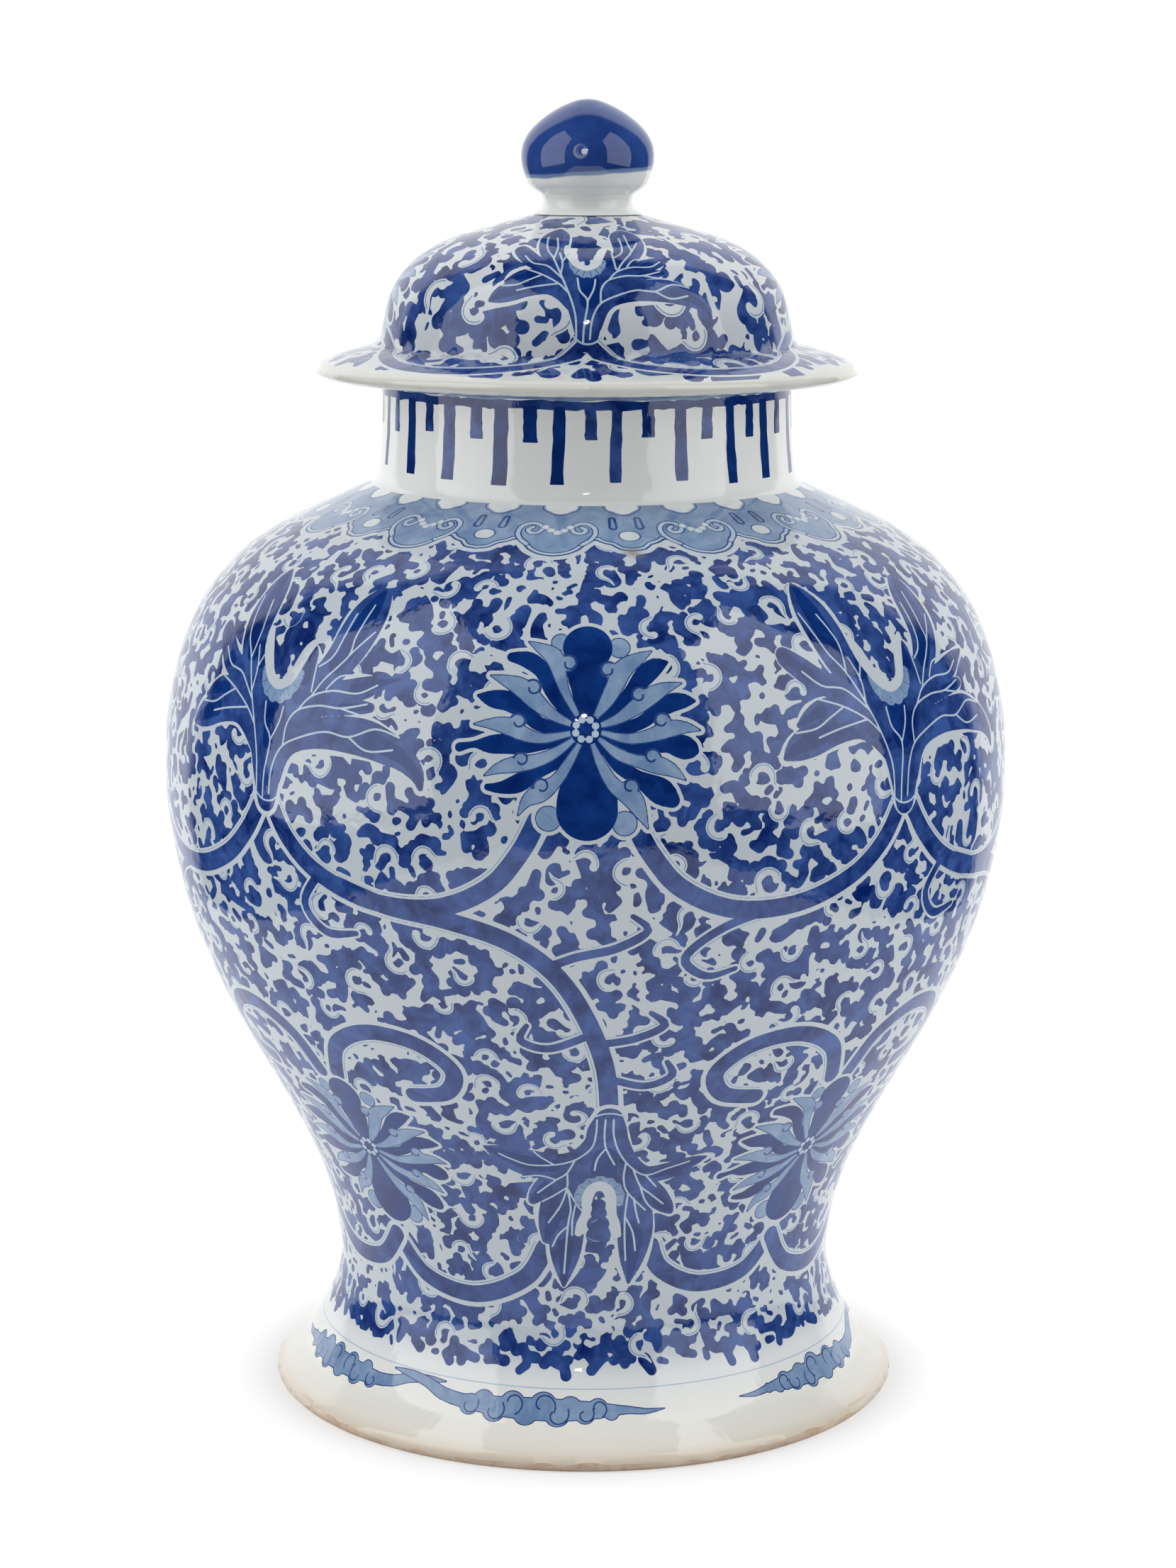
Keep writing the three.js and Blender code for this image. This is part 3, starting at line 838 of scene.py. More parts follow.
def lappets(wall):
    """Lays the collar, heads and lobes as one pale shape with a border, and what is in them."""
    heads = lappet_turn + np.arange(lappet_count) * 360 / lappet_count
    lobes = heads + 180 / lappet_count

    def place(turn, points):
        points = np.atleast_2d(np.array(points, float))
        points[:, 1] -= lappet_tip
        return wall.local(turn, lappet_tip, points)

    band = np.maximum(collar_base - wall.along, wall.along - collar_top)
    wall.wash["edge"] = np.repeat(band[:, None], wall.columns, 1).astype(np.float32)
    for turns, points in ((lobes, lappet_lobe), (heads, lappet_head)):
        for turn in turns:
            wall.shape(place(turn, smooth(points + points[:1], 2)[:-1]), [("edge", 0)], 4)
    edge = wall.wash.pop("edge")
    for wash in ("cobalt", "deep", "pale", "light", "line"):
        wall.cut(wash, collar_margin - edge)
    wall.add("pale", edge)
    wall.add("light", np.abs(edge + border_inset + border_width / 2) - border_width / 2)
    wall.add("line", np.abs(edge + border_inset / 2) - petal_line)
    wall.add("line", np.abs(edge + border_inset * 1.5 + border_width) - petal_line * 0.7)
    for turn in heads:
        for side in (1, -1):
            scroll = smooth(np.array(lappet_scroll) * [side, 1], 1.2)
            wall.stroke(place(turn, widened(scroll, 1.15)), [("line", 0), ("-light", 0)])
            wall.stroke(place(turn, widened(scroll, 0.7)), [("light", 0), ("-line", 0)])
        petals = [place(turn, petal) for petal in lappet_petals]
        figure(wall, petals, "light", thin_line)
        for petal in petals:
            wall.stroke(petal * [1, 1, 0.6], [("-light", 0), ("-pale", 0)])
    for turn in lobes:
        wall.stroke(place(turn, pearl), [("line", 0.5), ("-pale", 0)])
        wall.stroke(place(turn, pearl), [("-line", 0.1)])
        for x in wedge_places:
            stroke = place(turn, [(x, level, half_width) for level, half_width in wedge])
            wall.stroke(stroke, [("cobalt", 0), ("-pale", 0)])
            wall.stroke(stroke, [("pale", -0.9)])
    for turn in np.concatenate([heads, lobes]):
        stroke = place(turn, scallop)
        wall.stroke(stroke, [("line", 1.1)])
        wall.stroke(stroke, [("-line", 0.7), ("pale", 0.7)])
        wall.stroke(stroke, [("-pale", 0)])


lappets(jar_wall)


# The clouds on the foot: pale washed puffs with dark outlines and curling lines, drawn out to a
# thin tail on each side. Each is [degrees from the front, size, 1 or -1 for the way it faces].
clouds = [(-62, 0.95, -1), (-9, 1, 1), (57, 0.95, -1), (116, 0.95, 1), (176, 1, -1), (238, 0.95, 1)]
cloud_height = 17.4
# Each puff is mm to the right of the cloud's middle, mm above it, and radius.
puffs = [
    (-30, 0.6, 2.2), (-24.4, -0.8, 3.4), (-19.6, 1.6, 3.6), (-15, -1.3, 4.3), (-9.2, 1.3, 4.5),
    (-4, -1.6, 4.5), (2, 1.6, 4.8), (6.4, -1.8, 4.3), (11.2, 1.1, 4.5), (15.8, -1, 3.9),
    (20.2, 0.9, 3.5), (24.6, -0.6, 2.8), (29, 0.2, 1.9),
]
cloud_tails = [
    [(-31, 0.4, 2.2), (-15, 0, 3.4), (0, 0, 4), (15, 0, 3.4), (29, 0, 1.6), (36, -0.8, 1.1),
     (43, -0.4, 0.3)],
    [(-28, 0.4, 2.4), (-35, 1.4, 2.3), (-42, 4, 1.9), (-50, 5.4, 1.5), (-58, 5.8, 0.4)],
]
curled_puffs = [1, 3, 4, 6, 7, 9, 10]
cloud_line = 0.26
foot_ring_line = 23.6


def cloud(wall, degrees, size, side, random):
    """Lays one cloud, whose puffs are each a little out of place, and its curling lines."""
    along = np.interp(cloud_height, wall.height, wall.along)

    def place(points):
        return wall.local(degrees, along, turned(points, side=side, size=size))

    shifted = np.array(puffs) + random.uniform(-0.4, 0.4, (len(puffs), 3))
    strokes = [place(smooth(tail, 2)) for tail in cloud_tails] + [place([puff]) for puff in shifted]
    figure(wall, strokes, "pale", petal_line)
    for x, y, r in shifted[curled_puffs]:
        up = 1 if y > 0 else -1
        sweep = np.linspace(0, random.uniform(3.8, 4.8), 12)
        turn = up * (random.uniform(-1.2, -0.4) + sweep)
        reach = (r - petal_line) * np.interp(sweep, [0, 2.2, 4.8], [1, 0.8, 0.3])
        spiral = np.column_stack([x + reach * np.cos(turn), y + reach * np.sin(turn)])
        wall.stroke(place(widened(spiral, cloud_line)), [("line", 0)], 1)


for degrees, size, side in clouds:
    cloud(jar_wall, degrees, size, side, chance)
ring_line = np.interp(foot_ring_line, jar_wall.height, jar_wall.along)
jar_wall.add("light", np.abs(jar_wall.along - ring_line)[:, None] - thin_line)

# The ring that the jar stands on, and the edge round it, are wiped clean of glaze and burn brown.
bare_height = 3
# How the edge wanders: [waves round the foot, mm to each side].
burn_waves = [(9, 0.7), (50, 0.35)]
burn_edge = np.interp(bare_height, jar_wall.height, jar_wall.along)
burn_edge += sum(drift((16, jar_wall.columns), jar_wall.columns / waves, chance)[8] * most
                 for waves, most in burn_waves)
jar_wall.add("bare", (jar_wall.along[:, None] - burn_edge).astype(np.float32))


# Firing. The painted wall is dipped in clear glaze and fired, and each thrown section of it becomes
# one closed piece: its painted outside, its rims and its plain inside.
curve_error = 0.075
hidden_depth = 0.04
thinning_rounds = 14
longest_edge = 5.0
open_step = 5.0
open_room = 0.8
rim_step = 3.0
sharp_angle = math.radians(35)


def sample(wall, wash, points):
    """The distance to a wash's edge at any columns and rows."""
    field = wall.wash[wash]
    x, y = points.T
    row = np.clip(y.astype(int), 0, wall.rows - 2)
    column = np.floor(x).astype(int)
    across, up = x - column, y - row
    left, right = column % wall.columns, (column + 1) % wall.columns
    low = field[row, left] * (1 - across) + field[row, right] * across
    high = field[row + 1, left] * (1 - across) + field[row + 1, right] * across
    return low * (1 - up) + high * up


def wash_edges(wall, wash, first, last):
    """The line round a wash between two rows: its points, and the two neighbours of each."""
    field = wall.wash[wash][first:last + 1]
    field = np.hstack([field, field[:, :1]])
    field = np.where(np.abs(field) < 1e-5, 1e-5, field)
    inside = field < 0
    flat = inside[:, :-1] != inside[:, 1:]
    steep = inside[:-1] != inside[1:]
    flat_id, steep_id = np.full(flat.shape, -1), np.full(steep.shape, -1)
    flat_id[flat] = np.arange(flat.sum())
    steep_id[steep] = np.arange(steep.sum()) + flat.sum()
    i, j = np.nonzero(flat)
    flat_points = np.stack([j + field[i, j] / (field[i, j] - field[i, j + 1]), i + 0.0], 1)
    i, j = np.nonzero(steep)
    steep_points = np.stack([j + 0.0, i + field[i, j] / (field[i, j] - field[i + 1, j])], 1)
    points = np.vstack([flat_points, steep_points]) + [0, first]
    sides = np.stack([flat_id[:-1], steep_id[:, 1:], flat_id[1:], steep_id[:, :-1]], -1)
    crossed = (sides >= 0).sum(-1)
    links = [np.sort(sides[crossed == 2], -1)[:, 2:]]
    i, j = np.nonzero(crossed == 4)
    middle = (field[i, j] + field[i + 1, j] + field[i, j + 1] + field[i + 1, j + 1]) < 0
    bottom, right, top, left = sides[i, j].T
    joined = middle == inside[i, j]
    links.append(np.stack([bottom, np.where(joined, right, left)], 1))
    links.append(np.stack([top, np.where(joined, left, right)], 1))
    links = np.vstack(links)
    ends, others = links.ravel(), links[:, ::-1].ravel()
    order = np.argsort(ends, kind="stable")
    ends, others = ends[order], others[order]
    leading = np.concatenate([[True], ends[1:] != ends[:-1]]) if len(ends) else np.zeros(0, bool)
    beside = np.full((len(points), 2), -1)
    beside[ends[leading], 0] = others[leading]
    beside[ends[~leading], 1] = others[~leading]
    return points, beside


def thinned(points, beside, grain, fixed):
    """Drops points of the line where it stays true without them."""
    error = np.zeros(len(points))
    kept = np.ones(len(points), bool)
    fixed = fixed | (beside < 0).any(1)
    tie_break = (np.arange(len(points)) * 0.618) % 1 * 1e-6
    for _ in range(thinning_rounds):
        a, b = points[beside[:, 0]], points[beside[:, 1]]
        chord = b - a
        length = np.hypot(*chord.T) + 1e-9
        (along, up), (x, y) = chord.T, (points - a).T
        cost = (np.abs(along * y - up * x) / length + error) * grain + tie_break
        cost[fixed | ~kept | (length * grain > longest_edge)] = 1e9
        out = (cost < curve_error) & (cost < cost[beside[:, 0]]) & (cost < cost[beside[:, 1]])
        gone = np.nonzero(out)[0]
        if not len(gone):
            break
        for here, there in ((0, 1), (1, 0)):
            near, far = beside[gone, here], beside[gone, there]
            slot = (beside[near, 0] != gone).astype(int)
            beside[near, slot] = far
            error[near] = np.maximum(error[near], cost[gone] / grain[gone])
        kept[gone] = False
    return kept


def skin(wall, section):
    """The painted outside of a section: points in columns and rows, triangles and their washes."""
    first, last = wall.joints[section], wall.joints[section + 1]
    points, edges = [], []
    for order, wash in enumerate(wall.washes):
        line, beside = wash_edges(wall, wash, first, last)
        if not len(line):
            continue
        over = np.full(len(line), wall.unpainted)
        for upper in wall.washes[order + 1:]:
            over = np.minimum(over, sample(wall, upper, line))
        hidden = over < -hidden_depth
        rim = np.isin(line[:, 0], (0, wall.columns)) | np.isin(line[:, 1], (first, last))
        turn_over = (hidden[beside] != hidden[:, None]).any(1)
        grain = np.interp(line[:, 1], np.arange(wall.rows), wall.grain)
        kept = thinned(line, beside, grain, rim | turn_over)
        start = np.repeat(np.nonzero(kept)[0], 2)
        end = beside[kept].ravel()
        used = (end > start) & ~(hidden[start] & hidden[end])
        shown = kept & ~hidden
        shown[start[used]] = shown[end[used]] = True
        number = np.full(len(line), -1)
        number[shown] = np.arange(shown.sum()) + sum(map(len, points))
        points.append(line[shown])
        edges.append(np.stack([number[start[used]], number[end[used]]], 1))
    rows = np.arange(wall.rows)
    run, span = wall.along[first:last + 1], rows[first:last + 1]
    levels = np.linspace(run[0], run[-1], max(2, round(np.ptp(run) / rim_step) + 1))
    levels = np.interp(levels, run, span)
    for column in (0, wall.columns):
        points.append(np.stack([np.full(len(levels), float(column)), levels], 1))
    for row in (first, last):
        count = round(2 * math.pi * wall.radius[row] / rim_step)
        columns = np.linspace(0, wall.columns, count + 1)[1:-1]
        points.append(np.stack([columns, np.full(len(columns), float(row))], 1))
    levels = np.interp(np.arange(run[0] + open_step / 2, run[-1], open_step), run, span)
    for odd, level in enumerate(levels):
        count = round(2 * math.pi * np.interp(level, rows, wall.radius) / open_step)
        columns = (np.arange(count) + 0.25 + odd % 2 / 2) * wall.columns / count
        spots = np.stack([columns, np.full(count, level)], 1)
        room = np.min([np.abs(sample(wall, wash, spots)) for wash in wall.washes], 0)
        points.append(spots[room > open_room])
    points, edges = np.vstack(points).tolist(), np.vstack(edges).tolist()
    found = delaunay_2d_cdt(points, edges, [], 0, 1e-5, False)
    places, faces = np.array([tuple(v) for v in found[0]]), np.array(found[2])
    left = np.nonzero(places[:, 0] < 1e-4)[0]
    right = np.nonzero(places[:, 0] > wall.columns - 1e-4)[0]
    left, right = left[np.argsort(places[left, 1])], right[np.argsort(places[right, 1])]
    same = np.arange(len(places))
    same[right] = left
    faces = same[faces]
    middle = places[np.array(found[2])].mean(1)
    washes = np.zeros(len(faces))
    for order, wash in enumerate(wall.washes):
        washes[sample(wall, wash, middle) < 0] = order + 1
    return places, faces, washes


def inner_face(outside, start_wall, end_wall, count):
    """The inside of a wall: its outline moved in, square to itself, by a thickness that changes
    evenly from start_wall to end_wall."""
    outside = outside[np.linspace(0, len(outside) - 1, count).astype(int)]
    way = np.gradient(outside, axis=0)
    way /= np.hypot(*way.T)[:, None]
    wall = np.linspace(start_wall, end_wall, count)
    inwards = np.stack([-np.abs(way[:, 1]), np.sign(way[:, 1]) * way[:, 0]], 1)
    return outside + inwards * wall[:, None]


def spun(shell, profile, steps):
    """Turns a profile of [radius, height] once round the axis."""
    corners = [shell.verts.new((radius * MM, 0, height * MM)) for radius, height in profile]
    sides = [shell.edges.new(pair) for pair in zip(corners, corners[1:])]
    bmesh.ops.spin(shell, geom=corners + sides, cent=(0, 0, 0), axis=(0, 0, 1), angle=2 * math.pi,
                   steps=steps, use_merge=True)


def smoothed(shell):
    """Turns all faces outwards and shades them smooth, but for the sharp edges between them."""
    bmesh.ops.recalc_face_normals(shell, faces=shell.faces[:])
    for edge in shell.edges:
        edge.smooth = edge.calc_face_angle(0) < sharp_angle
    for face in shell.faces:
        face.smooth = True


def add_layer(mesh, name, kind, domain, field, values):
    mesh.attributes.new(name, kind, domain).data.foreach_set(field, values)


def add_object(name, data):
    thing = bpy.data.objects.new(name, data)
    bpy.context.scene.collection.objects.link(thing)
    return thing


def set_normals(mesh):
    """The painted faces shade as the smooth wall that they follow, and the rest as it is."""
    painted = np.zeros(len(mesh.polygons), bool)
    normals = np.zeros(len(mesh.vertices) * 3, np.float32)
    mesh.attributes["painted"].data.foreach_get("value", painted)
    mesh.attributes["facing"].data.foreach_get("vector", normals)
    corner = np.zeros(len(mesh.loops), np.int32)
    start, total = np.zeros((2, len(mesh.polygons)), np.int32)
    mesh.loops.foreach_get("vertex_index", corner)
    mesh.polygons.foreach_get("loop_start", start)
    mesh.polygons.foreach_get("loop_total", total)
    face = np.repeat(np.arange(len(start)), total)
    custom = normals.reshape(-1, 3)[corner] * painted[face][:, None]
    mesh.normals_split_custom_set(custom.tolist())
    mesh.attributes.remove(mesh.attributes["painted"])
    mesh.attributes.remove(mesh.attributes["facing"])


def fired(name, wall, section, inside, steps=128):
    """One closed piece of porcelain: a painted section, and the rest of it, whose profile inside
    runs from next to the painted section's top rim to next to its bottom rim."""
    places, faces, washes = skin(wall, section)
    rows = np.arange(wall.rows)
    radius, height = (np.interp(places[:, 1], rows, side) for side in (wall.radius, wall.height))
    angle = places[:, 0] * wall.pitch - math.pi
    facing = np.stack([np.interp(places[:, 1], rows, side) for side in wall.facing.T], 1)
    out = np.stack([np.sin(angle), -np.cos(angle)], 1)
    corners = np.column_stack([out * radius[:, None], height]) * MM
    used = np.unique(faces)
    number = np.zeros(len(places), int)
    number[used] = np.arange(len(used))
    mesh = bpy.data.meshes.new(name)
    mesh.from_pydata(corners[used].tolist(), [], number[faces].tolist())
    add_layer(mesh, "wash", "FLOAT", "FACE", "value", washes.astype(np.float32))
    add_layer(mesh, "painted", "BOOLEAN", "FACE", "value", np.ones(len(faces), bool))
    normals = np.column_stack([out * facing[:, :1], facing[:, 1]])[used]
    add_layer(mesh, "facing", "FLOAT_VECTOR", "POINT", "vector", normals.astype(np.float32).ravel())
    shell = bmesh.new()
    shell.from_mesh(mesh)
    spun(shell, inside, steps)
    on_axis = [v for v in shell.verts if math.hypot(*v.co[:2]) < 1e-6]
    bmesh.ops.remove_doubles(shell, verts=on_axis, dist=1e-6)
    bmesh.ops.delete(shell, geom=[e for e in shell.edges if e.is_wire], context="EDGES")
    for _, level in (inside[0], inside[-1]):
        rim = [e for e in shell.edges if e.is_boundary
               and all(abs(v.co.z - level * MM) < 1e-5 for v in e.verts)]
        bmesh.ops.triangle_fill(shell, use_beauty=True, edges=rim, normal=(0, 0, 1))
    smoothed(shell)
    shell.to_mesh(mesh)
    open_edges = sum(not edge.is_manifold for edge in shell.edges)
    shell.free()
    print(name, len(mesh.polygons), "faces,", open_edges, "open edges")
    set_normals(mesh)
    return add_object(name, mesh)


def finished(piece, material, node, body):
    piece.data.materials.append(material)
    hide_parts(node)
    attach(piece, body)


# Tones of each wash, thin and pooled, in the order of the wall's washes.
thin_tones = [
    (0.042, 0.098, 0.325), (0.005, 0.040, 0.21), (0.27, 0.38, 0.54), (0.48, 0.59, 0.70),
    (0.030, 0.075, 0.25), (0.66, 0.54, 0.42),
]
pooled_tones = [
    (0.001, 0.014, 0.115), (0.0012, 0.016, 0.12), (0.14, 0.235, 0.42), (0.40, 0.51, 0.63),
    (0.014, 0.045, 0.18), (0.47, 0.33, 0.23),
]
# Tones of the white by height in mm. In part they are the glaze's own colour: buff where the glaze
# thins out over the foot's edge, warm where it is thick at the foot and the brim, and blued by the
# cobalt between. In part they are painted shade and light: the body, the brim and the dome are set
# much darker than the neck and the foot, and the dome lighter towards its top, for how the light
# falls at each height.
white_tones_with_painted_shade = [
    (4, (0.72, 0.62, 0.49)), (6.6, (0.81, 0.78, 0.69)), (14, (0.86, 0.86, 0.80)),
    (27, (0.76, 0.79, 0.795)), (34, (0.53, 0.59, 0.635)), (308, (0.53, 0.59, 0.635)),
    (323, (0.89, 0.91, 0.89)), (355, (0.89, 0.90, 0.87)), (358, (0.70, 0.70, 0.65)),
    (361.5, (0.70, 0.70, 0.65)), (364, (0.56, 0.61, 0.65)), (450, (0.73, 0.765, 0.77)),
]
# Marks of the fire and of wear: [degrees, radius, height, size], all in mm but the first.
stains = [
    (10.5, 97, 309.6, 3.4), (-78, 93.2, 359.5, 2.6), (4, 110.4, 5.4, 1.5), (-52, 92.8, 360, 1.6),
]
stain_tone = (0.20, 0.17, 0.13)
stain_strength = 0.7
glaze_roughness = 0.05
bare_roughness = 0.7
glaze_index = 1.57
biscuit_roughness = 0.75
# The brush's dabs are bent by a noise, over this much in metres.
dab_bend = 0.006


def add_node(tree, kind, **settings):
    node = tree.nodes.new(kind)
    for name, value in settings.items():
        if name in node.bl_rna.properties:
            setattr(node, name, value)
        else:
            node.inputs[name.replace("_", " ")].default_value = value
    return node


def tone_ramp(tree, value, stops, interpolation="CONSTANT"):
    """A ramp of tones, each [position, tone]."""
    ramp = add_node(tree, "ShaderNodeValToRGB")
    ramp.color_ramp.interpolation = interpolation
    elements = ramp.color_ramp.elements
    for number, (position, tone) in enumerate(stops):
        stop = elements[number] if number < 2 else elements.new(position)
        stop.position = position
        stop.color = (*tone, 1)
    tree.links.new(value, ramp.inputs[0])
    return ramp.outputs["Color"]


def join(tree, sockets, values):
    """Gives each socket its value: a number, a vector, a tone or another node's output."""
    for socket, value in zip(sockets, values):
        if isinstance(value, tuple):
            socket.default_value = (*value, 1)[:len(socket.default_value)]
        elif isinstance(value, (int, float)):
            socket.default_value = value
        else:
            tree.links.new(value, socket)


def maths(tree, operation, *values, clamp=False):
    node = add_node(tree, "ShaderNodeMath", operation=operation, use_clamp=clamp)
    join(tree, node.inputs, values)
    return node.outputs[0]


def vector_maths(tree, operation, *values):
    node = add_node(tree, "ShaderNodeVectorMath", operation=operation)
    join(tree, node.inputs, values)
    return node.outputs


def blended(tree, factor, first, second):
    """A mix of two colours, each an output or a tone."""
    mix = add_node(tree, "ShaderNodeMix", data_type="RGBA")
    join(tree, (mix.inputs[0], mix.inputs[6], mix.inputs[7]), (factor, first, second))
    return mix.outputs[2]


def faded(tree, value, start, end, levels=(0, 1), kind="LINEAR"):
    """The first of two levels where a value is at start, and the second where it is at end."""
    fade = add_node(tree, "ShaderNodeMapRange", interpolation_type=kind)
    names = ("Value", "From Min", "From Max", "To Min", "To Max")
    join(tree, [fade.inputs[name] for name in names], (value, start, end, *levels))
    return fade.outputs["Result"]


def spotted(tree, colour, where, spot, outer, inner, tone, strength=1):
    """A colour with a round spot of another tone in it, which fades from inner mm to outer mm."""
    off = vector_maths(tree, "DISTANCE", where, spot)["Value"]
    return blended(tree, faded(tree, off, outer * MM, inner * MM, (0, strength)), colour, tone)


def texture(tree, kind, where, **settings):
    """The outputs of a procedural texture."""
    node = add_node(tree, "ShaderNodeTex" + kind, **settings)
    tree.links.new(where, node.inputs["Vector"])
    return node.outputs


def add_relief(tree, shader, height, strength, depth):
    bump = add_node(tree, "ShaderNodeBump", Strength=strength, Distance=depth)
    tree.links.new(height, bump.inputs["Height"])
    tree.links.new(bump.outputs["Normal"], shader.inputs["Normal"])


def new_material(name):
    """A material, its tree, its shader, and the place of what it shades."""
    material = bpy.data.materials.new(name)
    material.use_nodes = True
    tree = material.node_tree
    where = add_node(tree, "ShaderNodeTexCoord").outputs["Object"]
    return material, tree, tree.nodes["Principled BSDF"], where


def glazed(name):
    """Clear glaze over cobalt washes on white porcelain, whose white holds painted shade and light
    by height.
    """
    material, tree, shader, where = new_material(name)
    wash = add_node(tree, "ShaderNodeAttribute", attribute_name="wash").outputs["Fac"]
    cloudy = texture(tree, "Noise", where, Scale=85, Detail=4, Roughness=0.6, Distortion=0.8)
    bent = vector_maths(tree, "MULTIPLY_ADD", cloudy["Color"], (dab_bend,) * 3, where)["Vector"]
    dab = texture(tree, "Voronoi", bent, Scale=140)
    overlap = texture(tree, "Voronoi", bent, Scale=260)
    pool = maths(tree, "MULTIPLY_ADD", cloudy["Fac"], 2.6, -1.15)
    pool = maths(tree, "MULTIPLY_ADD", dab["Color"], 0.42, pool)
    pool = maths(tree, "MULTIPLY_ADD", overlap["Color"], 0.22, pool, clamp=True)
    count = len(thin_tones)
    number = maths(tree, "DIVIDE", wash, count + 1)
    steps = [0] + [(order + 0.5) / (count + 1) for order in range(1, count)]
    thin = tone_ramp(tree, number, zip(steps, thin_tones))
    pooled = tone_ramp(tree, number, zip(steps, pooled_tones))
    colour = blended(tree, pool, thin, pooled)
    place = add_node(tree, "ShaderNodeSeparateXYZ")
    tree.links.new(where, place.inputs[0])
    # The white by height holds painted shade and light as well as the glaze's own tones.
    top = white_tones_with_painted_shade[-1][0]
    rise = maths(tree, "DIVIDE", place.outputs["Z"], top * MM)
    white = tone_ramp(tree, rise, [(level / top, tone) for level, tone in white_tones_with_painted_shade], "LINEAR")
    colour = blended(tree, maths(tree, "GREATER_THAN", wash, 0.5), white, colour)
    for degrees, radius, level, size in stains:
        turn = math.radians(degrees)
        spot = (radius * MM * math.sin(turn), -radius * MM * math.cos(turn), level * MM)
        edges = size * 1.4, size * 0.3
        colour = spotted(tree, colour, bent, spot, *edges, stain_tone, stain_strength)
    tree.links.new(colour, shader.inputs["Base Color"])
    dry = maths(tree, "GREATER_THAN", wash, count - 0.5)
    roughness = maths(tree, "MULTIPLY_ADD", dry, bare_roughness - glaze_roughness, glaze_roughness)
    tree.links.new(roughness, shader.inputs["Roughness"])
    ripple = texture(tree, "Noise", where, Scale=150, Detail=2, Roughness=0.4)
    relief = maths(tree, "MULTIPLY_ADD", dab["Distance"], -0.5, ripple["Fac"])
    add_relief(tree, shader, relief, 0.5, 0.00025)
    shader.inputs["IOR"].default_value = glaze_index
    return material


painted_glaze = glazed("painted_glaze")


# The foot: the flared skirt with its floor, recessed under, and a bare ring to stand on.
foot_ring_width = 10.5
recess_depth = 17
recess_taper = 4.5
floor_thickness = 11
floor_fillet = 6
waist_wall = 9
foot_bore = waist_radius - waist_wall
floor_top = recess_depth + floor_thickness
ring_bore = foot_base_radius - foot_ring_width
foot_inside = [
    [foot_bore, waist_joint], [foot_bore, floor_top + floor_fillet],
    [foot_bore - floor_fillet, floor_top], [0, floor_top],
]
foot_under = [[0, recess_depth], [ring_bore - recess_taper, recess_depth], [ring_bore, 0]]
foot = fired("jar_foot", jar_wall, 0, foot_inside + foot_under)
finished(foot, painted_glaze, "foot", "jar")


# The body: two thrown bowls luted rim to rim at the belly, which the painting runs over unbroken.
body_wall = 7.5
neck_wall = 6.2
inner_points = 24
lower_inside = inner_face(lower_outline, waist_wall, body_wall, inner_points)[::-1]
lower_inside[0, 1], lower_inside[-1, 1] = belly_joint, waist_joint
lower_body = fired("jar_lower_body", jar_wall, 1, lower_inside)
finished(lower_body, painted_glaze, "lower_body", "jar")
upper_inside = inner_face(upper_outline, body_wall, neck_wall, inner_points)[::-1]
upper_inside[0] = neck_foot_radius - neck_wall, neck_joint
upper_inside[-1, 1] = belly_joint
upper_body = fired("jar_upper_body", jar_wall, 2, upper_inside)
finished(upper_body, painted_glaze, "upper_body", "jar")


# The neck: a short upright ring, luted on the shoulder. A band of cobalt is brushed on under its
# rim, and strokes run down from it like drips, by turns long and short.
neck_rim_radius = 70.4
neck_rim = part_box("neck")[1][2] / MM
rim_round = 1.9
neck_shares = [[0, 0], [0.05, 0.45], [0.27, 0.72], [0.6, 0.93], [1, 1]]
neck_bore = neck_rim_radius - neck_wall
neck_grain = 0.3
band_foot, band_head = 351, 355.2
band_pools = 12
drip_pairs = 22
drip_turn = 8.9
long_drip, short_drip = 326.5, 341
drip_points = 8
deep_drips = 0.4
# The strokes of the band: [height, half width, wash].
band_strokes = [
    (band_head, 1.3, "pale"), (band_foot + 1.6, 1.4, "cobalt"), (band_foot + 1.2, 1.2, "cobalt"),
]


def arc(radius, height, size, start, end, count):
    """Points of [radius, height] on an arc, by degrees from straight outwards."""
    turn = np.radians(np.linspace(start, end, count))
    return np.stack([radius + size * np.cos(turn), height + size * np.sin(turn)], 1)


neck_top = arc(neck_rim_radius - rim_round, neck_rim - rim_round, rim_round, 0, 90, 7)
neck_outline = outline([neck_foot_radius, neck_joint], neck_top[0], neck_shares)
neck_painted = Wall([neck_outline, neck_top], neck_grain, neck_joint)
neck_painted.joints = [0, neck_painted.joints[-1]]


